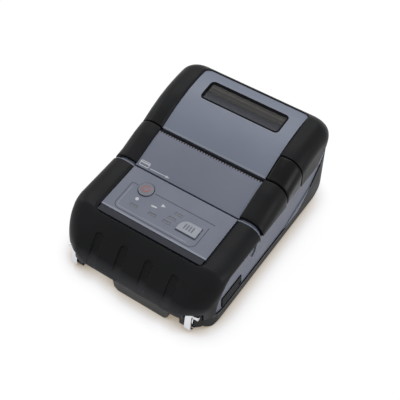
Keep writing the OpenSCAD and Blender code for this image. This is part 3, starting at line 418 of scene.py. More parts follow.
def mesh_from(name, verts, faces):
    """Mesh from points in millimetres."""
    me = bpy.data.meshes.new(name)
    me.from_pydata([(x / 1000, y / 1000, z / 1000) for x, y, z in verts], [], faces)
    me.validate()
    bm = bmesh.new()
    bm.from_mesh(me)
    bmesh.ops.recalc_face_normals(bm, faces=bm.faces)
    bm.to_mesh(me)
    bm.free()
    return me


def loft_mesh(name, ys, outers, inners, move=None):
    """Closed skin through sections made of an outer and an inner line of equal length."""
    m = len(outers[0])
    verts = []
    for y, a, b in zip(ys, outers, inners):
        for p in a:
            v = (p[0], y, p[1])
            verts.append(move(v) if move else v)
        for p in reversed(b):
            verts.append((p[0], y, p[1]))
    faces = []
    c = 2 * m
    for k in range(len(ys) - 1):
        for i in range(c):
            j = (i + 1) % c
            faces.append((k * c + i, k * c + j, (k + 1) * c + j, (k + 1) * c + i))
    for at in (0, (len(ys) - 1) * c):
        for i in range(m - 1):
            faces.append((at + i, at + i + 1, at + c - 2 - i, at + c - 1 - i))
    return mesh_from(name, verts, faces)


cutter_top = 70


def prism_mesh(name, outline, bottom, rim, flare, below):
    """Upright cutter from a plan outline, widened by flare from a line below rim(y) upwards."""
    n = len(outline)
    cx = sum(p[0] for p in outline) / n
    cy = sum(p[1] for p in outline) / n

    def out(i, d):
        a, b, c = outline[i - 1], outline[i], outline[(i + 1) % n]
        t = Vector((c[0] - a[0], c[1] - a[1]))
        t.normalize()
        nrm = Vector((t.y, -t.x))
        if nrm.dot(Vector((b[0] - cx, b[1] - cy))) < 0:
            nrm = -nrm
        return b[0] + nrm.x * d, b[1] + nrm.y * d

    plain = [out(i, 0) for i in range(n)]
    wide = [out(i, flare) for i in range(n)]
    line = [rim(y) - below for x, y in outline]
    verts = [(x, y, bottom) for x, y in plain]
    verts += [(x, y, z) for (x, y), z in zip(plain, line)]
    verts += [(x, y, z + flare) for (x, y), z in zip(wide, line)]
    verts += [(x, y, cutter_top) for x, y in wide]
    faces = [tuple(range(n)), tuple(range(3 * n, 4 * n))]
    for k in range(3):
        for i in range(n):
            j = (i + 1) % n
            faces.append((k * n + i, k * n + j, (k + 1) * n + j, (k + 1) * n + i))
    return mesh_from(name, verts, faces)


def rounded(x0, x1, y0, y1, radii, n=8):
    """Rectangle with the corner radii of (x0,y0), (x1,y0), (x1,y1), (x0,y1)."""
    pts = []
    corners = ((x0, y0, 1, 1, 180), (x1, y0, -1, 1, 270), (x1, y1, -1, -1, 0), (x0, y1, 1, -1, 90))
    for (cx, cy, sx, sy, a0), r in zip(corners, radii):
        for i in range(n + 1):
            a = math.radians(a0 + 90 * i / n)
            pts.append((cx + sx * r + r * math.cos(a), cy + sy * r + r * math.sin(a)))
    keep = []
    for p in pts:
        if not keep or math.dist(p, keep[-1]) > 1e-6:
            keep.append(p)
    if math.dist(keep[0], keep[-1]) < 1e-6:
        keep.pop()
    return keep


def densify(pts, step):
    """Closed outline with more points on its long edges."""
    out = []
    for i, p in enumerate(pts):
        q = pts[(i + 1) % len(pts)]
        n = max(1, int(math.dist(p, q) / step))
        out += [(p[0] + (q[0] - p[0]) * k / n, p[1] + (q[1] - p[1]) * k / n) for k in range(n)]
    return out


def baked(ob):
    """Mesh of the object with its modifiers applied."""
    bpy.context.view_layer.update()
    graph = bpy.context.evaluated_depsgraph_get()
    return bpy.data.meshes.new_from_object(ob.evaluated_get(graph))


def cut(mesh, cutters):
    """Mesh less the cutter meshes."""
    for c in cutters:
        a = bpy.data.objects.new("cut_a", mesh)
        b = bpy.data.objects.new("cut_b", c)
        scene.collection.objects.link(a)
        scene.collection.objects.link(b)
        mod = a.modifiers.new("cut", "BOOLEAN")
        mod.operation = "DIFFERENCE"
        mod.object = b
        mod.solver = "EXACT"
        mesh = baked(a)
        bpy.data.objects.remove(a)
        bpy.data.objects.remove(b)
    return mesh


def smooth(mesh, angle=32):
    """Welds the mesh and shades it smooth, with edges over the angle kept sharp."""
    bm = bmesh.new()
    bm.from_mesh(mesh)
    bmesh.ops.remove_doubles(bm, verts=bm.verts, dist=1e-6)
    bm.to_mesh(mesh)
    bm.free()
    mesh.shade_smooth()
    mesh.set_sharp_from_angle(angle=math.radians(angle))


def box_mesh(name, a, b):
    """Box from its low corner a to its high corner b."""
    (x0, y0, z0), (x1, y1, z1) = a, b
    v = [(x, y, z) for z in (z0, z1) for y in (y0, y1) for x in (x0, x1)]
    f = [(0, 2, 3, 1), (4, 5, 7, 6), (0, 1, 5, 4), (2, 6, 7, 3), (0, 4, 6, 2), (1, 3, 7, 5)]
    return mesh_from(name, v, f)


# ---------------------------------------------------------------- materials, in metres

def object_place(t):
    return t.nodes.new("ShaderNodeTexCoord").outputs["Object"]


def principled(name):
    m = bpy.data.materials.new(name)
    m.use_nodes = True
    t = m.node_tree
    return m, t, t.nodes["Principled BSDF"]


def noise(t, scale, detail=4, rough=0.55, coord=None):
    n = t.nodes.new("ShaderNodeTexNoise")
    n.inputs["Scale"].default_value = scale
    n.inputs["Detail"].default_value = detail
    n.inputs["Roughness"].default_value = rough
    t.links.new(coord or object_place(t), n.inputs["Vector"])
    return n.outputs["Fac"]


def ranged(t, value, a, b, low=0.0, high=1.0):
    """From low at a to high at b, held beyond them."""
    r = t.nodes.new("ShaderNodeMapRange")
    r.inputs["From Min"].default_value = a
    r.inputs["From Max"].default_value = b
    r.inputs["To Min"].default_value = low
    r.inputs["To Max"].default_value = high
    t.links.new(value, r.inputs["Value"])
    return r.outputs["Result"]


def spread(t, fac, low, high):
    """A noise's middle range, spread from low to high."""
    return ranged(t, fac, 0.3, 0.7, low, high)


def mix_color(t, fac, a, b):
    m = t.nodes.new("ShaderNodeMix")
    m.data_type = "RGBA"
    t.links.new(fac, m.inputs["Factor"])
    for s, v in ((6, a), (7, b)):
        if isinstance(v, tuple):
            m.inputs[s].default_value = (*v, 1)
        else:
            t.links.new(v, m.inputs[s])
    return m.outputs[2]


def bevel_normal(t, radius, samples):
    v = t.nodes.new("ShaderNodeBevel")
    v.samples = samples
    v.inputs["Radius"].default_value = radius
    return v.outputs[0]


def bumped(t, bsdf, height, strength, distance=0.0001, edge=0.0):
    """Fine relief, over edges rounded by the given radius."""
    b = t.nodes.new("ShaderNodeBump")
    b.inputs["Strength"].default_value = strength
    b.inputs["Distance"].default_value = distance
    t.links.new(height, b.inputs["Height"])
    if edge:
        t.links.new(bevel_normal(t, edge, 6), b.inputs["Normal"])
    t.links.new(b.outputs[0], bsdf.inputs["Normal"])


def edge_wear_and_sheen(t, base, wear_and_sheen_color):
    """Base colour made lighter along edges, where the rounded normal leaves the face's own: partly wear,
    partly a painted highlight on the rounded edges.
    """
    d = t.nodes.new("ShaderNodeVectorMath")
    d.operation = "DOT_PRODUCT"
    t.links.new(t.nodes.new("ShaderNodeNewGeometry").outputs["Normal"], d.inputs[0])
    t.links.new(bevel_normal(t, 0.0004, 4), d.inputs[1])
    near_edge = ranged(t, d.outputs["Value"], 0.985, 0.86, 0.0, 0.55)
    patches = spread(t, noise(t, 420, 3), 0.0, 1.0)
    return mix_color(t, reckon(t, "MULTIPLY", near_edge, patches), base, wear_and_sheen_color)


def plastic(name, dark, light, rough=(0.45, 0.55), grain=1500, bump=0.25, edge=0.0002,
            wear_and_sheen=None, spec=0.5):
    m, t, b = principled(name)
    col = ramp(t, noise(t, 38, 5), [(0.35, dark), (0.65, light)])
    # lighter edges: partly wear, partly a painted highlight
    if wear_and_sheen:
        col = edge_wear_and_sheen(t, col, wear_and_sheen)
    t.links.new(col, b.inputs["Base Color"])
    t.links.new(spread(t, noise(t, 90, 4), *rough), b.inputs["Roughness"])
    b.inputs["Specular IOR Level"].default_value = spec
    bumped(t, b, noise(t, grain, 2, 0.6), bump, 0.00004, edge)
    return m


def metal(name, dark, light, rough=(0.2, 0.32), stretch=None, bump=0.15):
    """Bare metal, brushed where stretch draws the noise out."""
    m, t, b = principled(name)
    co = object_place(t)
    if stretch:
        mp = t.nodes.new("ShaderNodeMapping")
        mp.inputs["Scale"].default_value = stretch
        t.links.new(co, mp.inputs["Vector"])
        co = mp.outputs["Vector"]
    col = ramp(t, noise(t, 120, 4, coord=co), [(0.3, dark), (0.7, light)])
    t.links.new(col, b.inputs["Base Color"])
    b.inputs["Metallic"].default_value = 1
    t.links.new(spread(t, noise(t, 300, 4, coord=co), *rough), b.inputs["Roughness"])
    bumped(t, b, noise(t, 900, 3, coord=co), bump, 0.00003, 0.00015)
    return m


# heights and places where the lip's lighter band, a painted reflection of the white floor, starts and is
# full
LIP_REFLECTION_Z = (0.0172, 0.0128)
LIP_REFLECTION_Y = (-0.046, -0.050)


def painted_lip_reflection(mat):
    """Lightens the rounded lower lip at the front of the slope with a painted reflection of the white
    floor.
    """
    t = mat.node_tree
    base = t.nodes["Principled BSDF"].inputs["Base Color"]
    before = base.links[0].from_socket
    xyz = t.nodes.new("ShaderNodeSeparateXYZ")
    t.links.new(object_place(t), xyz.inputs[0])
    low = ranged(t, xyz.outputs["Z"], *LIP_REFLECTION_Z)
    front = ranged(t, xyz.outputs["Y"], *LIP_REFLECTION_Y)
    light = ramp(t, noise(t, 60, 4), [(0.35, (0.078, 0.079, 0.084)), (0.65, (0.092, 0.093, 0.099))])
    t.links.new(mix_color(t, reckon(t, "MULTIPLY", low, front), before, light), base)


# lighter edge colours: partly wear, partly a painted highlight on rounded edges
GREY_WEAR_AND_SHEEN = (0.3, 0.32, 0.38)
RUBBER = {
    "dark": (0.0100, 0.0105, 0.0115), "light": (0.0150, 0.0155, 0.0170), "rough": (0.34, 0.46),
    "grain": 2200, "bump": 0.35, "wear_and_sheen": (0.050, 0.051, 0.056), "spec": 0.10,
}
# moulded black plastic, and thin printed or engraved lines
MOULDED = {"grain": 1300, "bump": 0.4}
PRINTED = {"bump": 0.05, "edge": 0}

grey = plastic("case_grey", (0.158, 0.174, 0.232), (0.172, 0.190, 0.252), (0.42, 0.52),
               wear_and_sheen=GREY_WEAR_AND_SHEEN)
lid_grey = plastic("lid_grey", (0.200, 0.223, 0.294), (0.218, 0.243, 0.320), (0.38, 0.48),
                   wear_and_sheen=GREY_WEAR_AND_SHEEN)
rubber = plastic("bumper_rubber", **RUBBER)
slope_rubber = plastic("slope_rubber", **RUBBER)
# painted reflection of the white floor on the lip
painted_lip_reflection(slope_rubber)
# black plastic of the block, given a lighter colour than the other black parts: painted light on its
# faces
lit_block_black = plastic("lit_block_black", (0.115, 0.117, 0.122), (0.140, 0.142, 0.148), (0.45, 0.55),
                      wear_and_sheen=(0.16, 0.162, 0.17), spec=0.25, **MOULDED)
flap_black = plastic("flap_black", (0.008, 0.009, 0.011), (0.012, 0.013, 0.015), (0.5, 0.6),
                     wear_and_sheen=(0.04, 0.041, 0.046), spec=0.06, **MOULDED)
housing = plastic("housing_black", (0.011, 0.012, 0.014), (0.016, 0.017, 0.020), (0.42, 0.54),
                  wear_and_sheen=(0.05, 0.052, 0.058), spec=0.14, **MOULDED)
gloss = plastic("gloss_black", (0.006, 0.006, 0.007), (0.009, 0.009, 0.010), (0.22, 0.32),
                grain=500, bump=0.05, wear_and_sheen=(0.04, 0.04, 0.045), spec=0.12)
recess = plastic("recess_black", (0.005, 0.005, 0.006), (0.009, 0.009, 0.010), (0.6, 0.7),
                 grain=900, bump=0.1, edge=0, spec=0.03)
strip = plastic("dark_strip", (0.026, 0.028, 0.038), (0.034, 0.037, 0.049), (0.30, 0.38),
                grain=400, bump=0.04, spec=0.12)
pipe = plastic("light_pipe", (0.085, 0.090, 0.115), (0.11, 0.115, 0.145), (0.2, 0.3),
               grain=700, bump=0.1)
tear = plastic("tear_metal", (0.018, 0.018, 0.020), (0.028, 0.028, 0.031), (0.35, 0.46),
               grain=900, bump=0.2, spec=0.12)
tooth_brown = plastic("tooth_brown", (0.020, 0.016, 0.013), (0.034, 0.027, 0.022), (0.4, 0.5),
                      grain=900, bump=0.2, edge=0, spec=0.08)
power = plastic("power_grey", (0.17, 0.175, 0.21), (0.2, 0.205, 0.245), (0.35, 0.45),
                wear_and_sheen=(0.35, 0.36, 0.4))
silver = plastic("key_silver", (0.30, 0.32, 0.37), (0.345, 0.365, 0.42), (0.3, 0.4),
                 wear_and_sheen=(0.5, 0.52, 0.56))
roller = plastic("roller_rubber", (0.014, 0.014, 0.015), (0.022, 0.022, 0.024), (0.6, 0.7),
                 grain=2600, bump=0.5)
gearw = plastic("gear_plastic", (0.62, 0.61, 0.57), (0.7, 0.69, 0.65), (0.3, 0.42),
                grain=800, bump=0.1)
board = plastic("solder_mask", (0.02, 0.10, 0.045), (0.03, 0.14, 0.06), (0.25, 0.4),
                grain=700, bump=0.1)
ceramic = plastic("ceramic", (0.58, 0.55, 0.48), (0.66, 0.63, 0.56), (0.2, 0.3),
                  grain=600, bump=0.05)
ink = plastic("print_white", (0.62, 0.63, 0.66), (0.7, 0.71, 0.73), (0.45, 0.55), **PRINTED)
red = plastic("print_red", (0.42, 0.10, 0.09), (0.5, 0.13, 0.11), (0.4, 0.5), **PRINTED)
bar_grey = plastic("bar_grey", (0.10, 0.105, 0.125), (0.14, 0.145, 0.17), (0.5, 0.6), **PRINTED)
glint = plastic("seam_glint", (0.055, 0.058, 0.068), (0.075, 0.078, 0.09), (0.4, 0.5), **PRINTED)
# dark lines of painted shade
shade_ink = plastic("line_shade", (0.05, 0.055, 0.075), (0.07, 0.075, 0.1), (0.5, 0.6), **PRINTED)
# painted highlights along lit edges and rims
highlight_ink = plastic("line_highlight", (0.27, 0.29, 0.36), (0.31, 0.33, 0.4), (0.45, 0.55), **PRINTED)
chrome = metal("chrome", (0.62, 0.63, 0.65), (0.74, 0.75, 0.77), (0.05, 0.12), bump=0.04)
steel = metal("steel", (0.42, 0.43, 0.45), (0.54, 0.55, 0.57), (0.25, 0.38), stretch=(1, 6, 6))
alu = metal("aluminium", (0.5, 0.51, 0.53), (0.62, 0.63, 0.65), (0.3, 0.4), stretch=(1, 1, 8))
brass = metal("brass", (0.62, 0.45, 0.18), (0.72, 0.54, 0.24), (0.2, 0.3))

# light and dark stripes in the smoked glass, from the front to the rear: a painted reflection of the
# ribs inside it
GLASS_Y0 = 0.0342
GLASS_Y1 = 0.0452
GLASS_WOBBLE = 0.0008
GLASS_REFLECTION_STRIPES = (
    (0.0, (0.085, 0.090, 0.112)),
    (0.20, (0.046, 0.050, 0.064)),
    (0.40, (0.022, 0.023, 0.028)),
    (0.52, (0.052, 0.049, 0.046)),
    (0.62, (0.034, 0.032, 0.031)),
    (0.72, (0.078, 0.073, 0.068)),
    (0.80, (0.040, 0.038, 0.037)),
    (0.90, (0.022, 0.021, 0.021)),
    (1.0, (0.008, 0.008, 0.009)),
)


def smoked_glass():
    m, t, b = principled("smoke_window")
    xyz = t.nodes.new("ShaderNodeSeparateXYZ")
    t.links.new(object_place(t), xyz.inputs[0])
    wavy_y = reckon(t, "MULTIPLY_ADD", noise(t, 45, 2), GLASS_WOBBLE, xyz.outputs["Y"])
    # painted reflection of the inner ribs, as stripes
    stripes = ramp(t, ranged(t, wavy_y, GLASS_Y0, GLASS_Y1), GLASS_REFLECTION_STRIPES)
    t.links.new(stripes, b.inputs["Base Color"])
    t.links.new(spread(t, noise(t, 120, 3), 0.14, 0.22), b.inputs["Roughness"])
    b.inputs["Specular IOR Level"].default_value = 0.12
    b.inputs["Alpha"].default_value = 0.93
    bumped(t, b, noise(t, 180, 2), 0.04, 0.00004)
    return m


glass = smoked_glass()

CAD_LOOK = {
    "base_shell": housing, "upper_case": grey, "mid_cover": grey, "ir_window": strip,
    "light_pipes": pipe, "tear_bar": tear, "print_head": ceramic, "heat_sink": alu,
    "head_spring": steel, "mechanism_frame": steel, "stepper_motor": steel, "motor_pinion": brass,
    "idler_gear": gearw, "idler_axle": steel, "main_board": board, "key_board": board,
    "card_reader_head": steel, "port_block": steel, "port_flap": flap_black, "power_button": power,
    "feed_button": silver, "paper_bucket": housing, "lid_shell": lid_grey, "lid_window": glass,
    "lid_barrel": housing, "hinge_pins": steel, "platen_roller": roller, "platen_shaft": steel,
    "platen_gear": gearw, "platen_bushings": gearw, "battery_pack": lit_block_black,
    "battery_contacts": brass, "strap_pins": chrome, "strap_loop_left": chrome,
    "strap_loop_right": chrome, "case_screws": steel, "paper_sensor": gloss,
}


def angle_smooth_group():
    """Shades faces smooth and keeps edges over 30 degrees sharp."""
    g = bpy.data.node_groups.new("angle_smooth", "GeometryNodeTree")
    for way in ("INPUT", "OUTPUT"):
        g.interface.new_socket("Geometry", in_out=way, socket_type="NodeSocketGeometry")
    start = g.nodes.new("NodeGroupInput")
    end = g.nodes.new("NodeGroupOutput")
    plain = g.nodes.new("GeometryNodeRemoveAttribute")
    plain.inputs["Name"].default_value = "custom_normal"
    faces = g.nodes.new("GeometryNodeSetShadeSmooth")
    faces.domain = "FACE"
    edges = g.nodes.new("GeometryNodeSetShadeSmooth")
    edges.domain = "EDGE"
    angle = g.nodes.new("GeometryNodeInputMeshEdgeAngle")
    soft = g.nodes.new("FunctionNodeCompare")
    soft.data_type = "FLOAT"
    soft.operation = "LESS_THAN"
    soft.inputs[1].default_value = math.radians(30)
    g.links.new(start.outputs[0], plain.inputs["Geometry"])
    g.links.new(plain.outputs["Geometry"], faces.inputs["Geometry"])
    g.links.new(faces.outputs["Geometry"], edges.inputs["Geometry"])
    g.links.new(angle.outputs["Unsigned Angle"], soft.inputs[0])
    g.links.new(soft.outputs["Result"], edges.inputs["Shade Smooth"])
    g.links.new(edges.outputs["Geometry"], end.inputs[0])
    return g


def dress(ob, look):
    """Gives a piece of the frame its material and smooth shading."""
    if not ob.material_slots:
        ob.data.materials.append(look)
    for slot in ob.material_slots:
        slot.link = "OBJECT"
        slot.material = look
    weld = ob.modifiers.new("weld", "WELD")
    weld.merge_threshold = 0.000002
    shading = ob.modifiers.new("smooth", "NODES")
    shading.node_group = SMOOTH


SMOOTH = angle_smooth_group()
for name, look in CAD_LOOK.items():
    dress(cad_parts[name], look)

# ---------------------------------------------------------------- rubber bumpers

groove_w = 4.6
groove_pitch = 13.6
groove_depth = 1.0
groove_top_y = slope_y - 4.6
groove_reach = 2.5
groove_wall = 0.14
groove_low_z = nose_mid + 0.2
groove_fade = 4.5
# unit vector into the slope, as shares of y and z
groove_in_y, groove_in_z = 0.77, -0.64


def grooves(v):
    """Pushes a point of the slope into the finger grooves."""
    x, y, z = v
    if y > groove_top_y + groove_reach:
        return v
    run = math.hypot(groove_top_y - y, crown_z(groove_top_y) - z)
    along = run if y < groove_top_y else -run
    end_r = groove_w / 2
    for i in (-1.5, -0.5, 0.5, 1.5):
        dx = abs(x - i * groove_pitch)
        r = dx if along > end_r else math.hypot(dx, end_r - along)
        if r < end_r:
            wall = min(1, (1 - r / end_r) / groove_wall)
            fade = min(max((z - groove_low_z) / groove_fade, 0), 1)
            d = groove_depth * wall * fade
            return (x, y + d * groove_in_y, z + d * groove_in_z)
    return v


lip_round_l = 1.9
lip_solid_l = 1.71
# sections along the lip's round, in millimetres behind the front
lip_steps = (0.003, 0.03, 0.08, 0.16, 0.27, 0.42, 0.6, 0.82, 1.05, 1.35, 1.69, 1.73)
loop_room = 0.7
loop_room_top = 13.6


def lip_under(y):
    """Height of the lip's rounded underside."""
    back = 1 - min(y - y_front, lip_round_l) / lip_round_l
    return nose_mid - (nose_mid - rail_low(y_front + 1.7)) * math.sqrt(max(1 - back ** 2, 0))


def front_skin():
    """Rubber over the front, the slope and the front rails, open over the deck and at the loops."""
    ys = [y_front + d for d in lip_steps] + span(y_front + 2.0, slope_y, 42)
    ys += span(slope_y + 0.25, slope_y + slope_edge_l, 11)
    ys += span(slope_y + slope_edge_l + 0.5, rail_up_y, 9)
    ys += span(rail_up_y + 1, y_slot - notch_l / 2, 14)
    cols = 108
    outers = []
    inners = []
    for y in ys:
        solid = y < y_front + lip_solid_l
        low = lip_under(y) if solid else rail_low(y)
        outers.append(mirrored(half_line(y, 0, low, cols)))
        if solid:
            inners.append([(x * 0.97, low - 0.01) for x, z in outers[-1]])
        else:
            inners.append(mirrored(half_line(y, bumper_t, low, cols)))
    me = loft_mesh("skin_front", ys, outers, inners, grooves)
    wide = panel_hw + 0.2
    opening = densify(rounded(-wide, wide, deck_front_y - 0.45, y_slot + 20, (3, 3, 0, 0)), 2.0)

    def rim(y):
        return panel_z(max(y, slope_y + slope_edge_l)) + crown_h - edge_dip

    cutters = [prism_mesh("opening", opening, lip_z + 6, rim, 3.0, 0.9)]
    loop_low, loop_high = [Vector(v) * 1000 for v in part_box("strap_loop_right")]
    top = min(loop_high.z + 0.6, loop_room_top)
    for s in (-1, 1):
        x0, x1 = sorted((s * (loop_low.x - loop_room), s * (loop_high.x + 4)))
        low_corner = (x0, y_front - 1, lip_z - 1)
        high_corner = (x1, loop_high.y + loop_room, top)
        cutters.append(box_mesh("corner", low_corner, high_corner))
    me = cut(me, cutters)
    smooth(me)
    ob = new_object("skin_front", me, slope_rubber, "body")
    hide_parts("front_bumper")


def bevelled(mesh, width):
    """Mesh with its sharp edges rounded."""
    ob = bpy.data.objects.new("tmp", mesh)
    scene.collection.objects.link(ob)
    b = ob.modifiers.new("bevel", "BEVEL")
    b.width = width / 1000
    b.segments = 3
    b.limit_method = "ANGLE"
    b.angle_limit = math.radians(50)
    result = baked(ob)
    bpy.data.objects.remove(ob)
    result.name = mesh.name
    return result


def rail_piece(name, ys, x0, t, side, mat, body, node, bevel=0.45):
    """Length of a shoulder from x0 out to the side, t thick, on one side of the body."""
    outers = []
    inners = []
    for lines, inwards in ((outers, 0), (inners, t)):
        for y in ys:
            half = half_line(y, inwards, rail_low(y), x0=x0)
            lines.append([(side * x, z) for x, z in half])
    me = bevelled(loft_mesh(name, ys, outers, inners), bevel)
    smooth(me)
    ob = new_object(name, me, mat, body)
    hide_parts(node)


# sections over the lid's rear, as shares of the roll-over's radius
roll_steps = (0.1, 0.2, 0.3, 0.4, 0.5, 0.58, 0.66, 0.74, 0.8, 0.86, 0.9, 0.94, 0.965, 0.985, 0.996)
lid_corner_r = 3.5
release_gap = 0.3


def lid_skin():
    """Rubber over the lid's sides and rear, one skin with a rounded opening for the lid panel."""
    ys = span(y_lid, dip_rear_y, 20)[:-1] + span(dip_rear_y, lid_top_y, 12)
    ys += [lid_top_y + roll_over_r * s for s in roll_steps]
    cols = 30
    outers = []
    inners = []
    for y in ys:
        low = rail_low(y)
        t = min(bumper_t, (crown_z(y) - low) * 0.8)
        outers.append(mirrored(half_line(y, 0, low, cols)))
        inners.append(mirrored(half_line(y, t, low, cols)))
    me = loft_mesh("skin_lid", ys, outers, inners)
    wide = panel_hw + 0.1
    rear = lid_rear_y + 0.2
    opening = rounded(-wide, wide, y_lid - 20, rear, (0, 0, lid_corner_r, lid_corner_r), 12)

    def rim(y):
        return (crown_z(y) if y < lid_rear_y + 0.1 else crown_z(rear)) - dip(y)

    over_panel = prism_mesh("lid_opening", densify(opening, 2.0), hinge_z - 2, rim, 3.0, 0.7)
    release_room = box_mesh("release_room", (panel_hw - 3, y_lid - 3, 10),
                            (hw + 3, release_y1 + release_gap, 60))
    me = cut(me, [over_panel, release_room])
    smooth(me)
    ob = new_object("skin_lid", me, rubber, "lid")
    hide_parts("lid_bumper")


front_skin()
rail_ys = span(y_slot + notch_l / 2, rail_end_y, 14)
for name, side in (("rail_right", 1), ("rail_left", -1)):
    rail_piece("skin_" + name, rail_ys, panel_hw + 0.1, bumper_t, side, rubber, "body",
               name)
release_ys = span(release_y0 + 0.25, release_y1 - 0.1, 10)
rail_piece("skin_release", release_ys, panel_hw + 0.45, bumper_t + 0.4, 1, gloss, "release",
           "release_button", bevel=0.7)
lid_skin()

# ---------------------------------------------------------------- marks and lines

# how far a line reaches into its surface and stands out of it
line_sunk, line_lift = 0.05, 0.03
button_sunk, button_lift = 0.1, 0.04
side_sunk = 0.3


def raised_line(name, pts, width, pair, mat, body="body", closed=False):
    """Thin bar along points of a plane. pair(u, v) gives its lower and upper point there."""
    n = len(pts)
    verts = []
    for i, p in enumerate(pts):
        a = pts[i - 1] if i > 0 or closed else p
        b = pts[(i + 1) % n] if i < n - 1 or closed else p
        t = Vector((b[0] - a[0], b[1] - a[1]))
        t.normalize()
        for s in (-1, 1):
            verts += pair(p[0] - s * t.y * width / 2, p[1] + s * t.x * width / 2)
    faces = []
    for i in range(n if closed else n - 1):
        a, b = 4 * i, 4 * ((i + 1) % n)
        faces += [(a + 1, b + 1, b + 3, a + 3), (a, b, b + 1, a + 1)]
        faces += [(a + 3, b + 3, b + 2, a + 2), (a + 2, b + 2, b, a)]
    if not closed:
        e = 4 * (n - 1)
        faces += [(0, 1, 3, 2), (e, e + 2, e + 3, e + 1)]
    return new_object(name, mesh_from(name, verts, faces), mat, body)


def ribbon(name, pts, width, height, mat, body="body", z_of=panel_z, closed=False):
    """Line along plan points, lying on the panel or on the surface given by z_of."""
    def pair(x, y):
        return [(x, y, z_of(y) - line_sunk), (x, y, z_of(y) + line_lift + height)]

    return raised_line(name, pts, width, pair, mat, body, closed)


def flat_mark(name, outline):
    """Thin printed plate with the given plan outline, lying on the panel."""
    n = len(outline)
    verts = [(x, y, panel_z(y) - line_sunk) for x, y in outline]
    verts += [(x, y, panel_z(y) + line_lift) for x, y in outline]
    faces = [tuple(range(n)), tuple(range(n, 2 * n))]
    faces += [(i, (i + 1) % n, n + (i + 1) % n, n + i) for i in range(n)]
    return new_object(name, mesh_from(name, verts, faces), ink, "body")


def arc(cx, cy, r, a0, a1, n=10):
    """Points on an arc from angle a0 to a1, in degrees."""
    turns = [math.radians(a) for a in span(a0, a1, n)]
    return [(cx + r * math.cos(a), cy + r * math.sin(a)) for a in turns]


def across(half, y, n):
    """Points on a line across the printer at y."""
    return [(x, y) for x in span(-half, half, n)]


# engraved frame round the lights: a dark line of painted shade, and a painted highlight inside it
engraved_w = 0.45
frame_x0, frame_x1 = -23.4, 20.4
frame_y0, frame_y1 = -33.5, -18.1
frame_r = 3
frame_pts = [(frame_x0, frame_y1), (frame_x0, frame_y0 + frame_r)]
frame_pts += arc(frame_x0 + frame_r, frame_y0 + frame_r, frame_r, 180, 270)
frame_pts += [(frame_x1 - frame_r, frame_y0)]
frame_pts += arc(frame_x1 - frame_r, frame_y0 + frame_r, frame_r, 270, 360)
frame_pts += [(frame_x1, frame_y1 - 2.4)]
ribbon("frame_line", frame_pts, engraved_w, 0.0, shade_ink)

glint_in = 1.2
glint_x, glint_y = frame_x0 + glint_in, frame_y0 + glint_in
glint_r = 2.0
inner_pts = [(glint_x, -20), (glint_x, glint_y + glint_r)]
inner_pts += arc(glint_x + glint_r, glint_y + glint_r, glint_r, 180, 270) + [(16, glint_y)]
ribbon("frame_glint", inner_pts, 0.35, 0.0, highlight_ink)
ribbon("frame_rear_left", [(-23.2, frame_y1), (-20.3, frame_y1)], engraved_w, 0.0, shade_ink)
ribbon("frame_rear_right", [(-10.7, frame_y1), (21.9, frame_y1)], engraved_w, 0.0, shade_ink)

# plain marks beside the lights: a dot, a bar and a wedge
flat_mark("mark_dot", arc(-16, -24.8, 0.9, 0, 337, 15))
ribbon("mark_bar", [(-8.4, -24.3), (-5.6, -24.1)], 0.8, 0, ink)
flat_mark("mark_wedge", [(-4.4, -22.6), (-2.2, -21.7), (-4.4, -20.8)])

# outline of a card with an arrow, on the mid cover
card_x, card_y = -24.6, -7.0
card_hw, card_hl, card_r = 2.5, 1.15, 0.5
print_w = 0.32
card = rounded(card_x - card_hw, card_x + card_hw, card_y - card_hl, card_y + card_hl, (card_r,) * 4, 4)
ribbon("card_mark", card, print_w, 0, ink, closed=True)
ribbon("card_mark_line", [(card_x - 2.4, card_y + 0.4), (card_x + 2.4, card_y + 0.4)], 0.5, 0, ink)
ribbon("arrow_mark", [(card_x + 3.6, card_y - 0.9), (card_x + 12.6, card_y - 0.7)], print_w, 0, ink)
arrow = [(12.4, -1.3), (14.4, -0.65), (12.4, -0.1)]
flat_mark("arrow_head", [(card_x + x, card_y + y) for x, y in arrow])

# ring and bar on the power button's dome
power_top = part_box("power_button")[1][2] * 1000
dome_fall = 22
mark_w = 0.5
ring_r = 1.55


def on_dome(x, y):
    z = power_top - ((x - power_x) ** 2 + (y - power_y) ** 2) / dome_fall
    return [(x, y, z - button_sunk), (x, y, z + button_lift)]


power_ring = arc(power_x, power_y, ring_r, 125, 415, 22)
power_bar = [(power_x, power_y + d) for d in (0.3, 1.2, 2.1)]
raised_line("power_mark_ring", power_ring, mark_w, on_dome, red, "power_key")
raised_line("power_mark_bar", power_bar, mark_w, on_dome, red, "power_key")

# bars on the feed button
feed_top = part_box("feed_button")[1][2] * 1000
for k, bar_x in enumerate((-2.1, -0.7, 0.7, 2.1)):
    bar_pts = [(feed_x + bar_x, feed_y + d) for d in (-1.4, 0, 1.5)]
    ribbon("feed_bar_%d" % k, bar_pts, 0.45, 0.08, bar_grey, "feed_key",
           z_of=lambda y: feed_top)

# window recess: dark wall round the glass, painted shade in its depth and a painted highlight on the rim
# in front
window_hw = window_w / 2
window_y1 = window_y0 + window_l
window_r = 1.8
window_line = rounded(-window_hw, window_hw, window_y0, window_y1, (window_r,) * 4, 6)
ribbon("window_wall", densify(window_line, 2.0), 0.8, 0.02, recess, "lid",
       z_of=lid_z, closed=True)
shade_x = 0.6 - window_hw
shade_y = window_y1 - 0.5
shade_pts = [(shade_x, window_y0 + 1.2), (shade_x, window_y1 - 1.6)]
shade_pts += [(shade_x + 0.4, window_y1 - 0.8), (shade_x + 1.2, shade_y)]
shade_pts += [(x, shade_y) for x in span(-18, 20, 16)]
ribbon("window_depth", shade_pts, 1.1, 0.0, recess, "lid",
       z_of=lambda y: lid_z(y) - 0.1)
ribbon("window_rim", across(window_hw - 1, window_y0 - 0.75, 20), 0.5, 0.0, highlight_ink, "lid", z_of=lid_z)

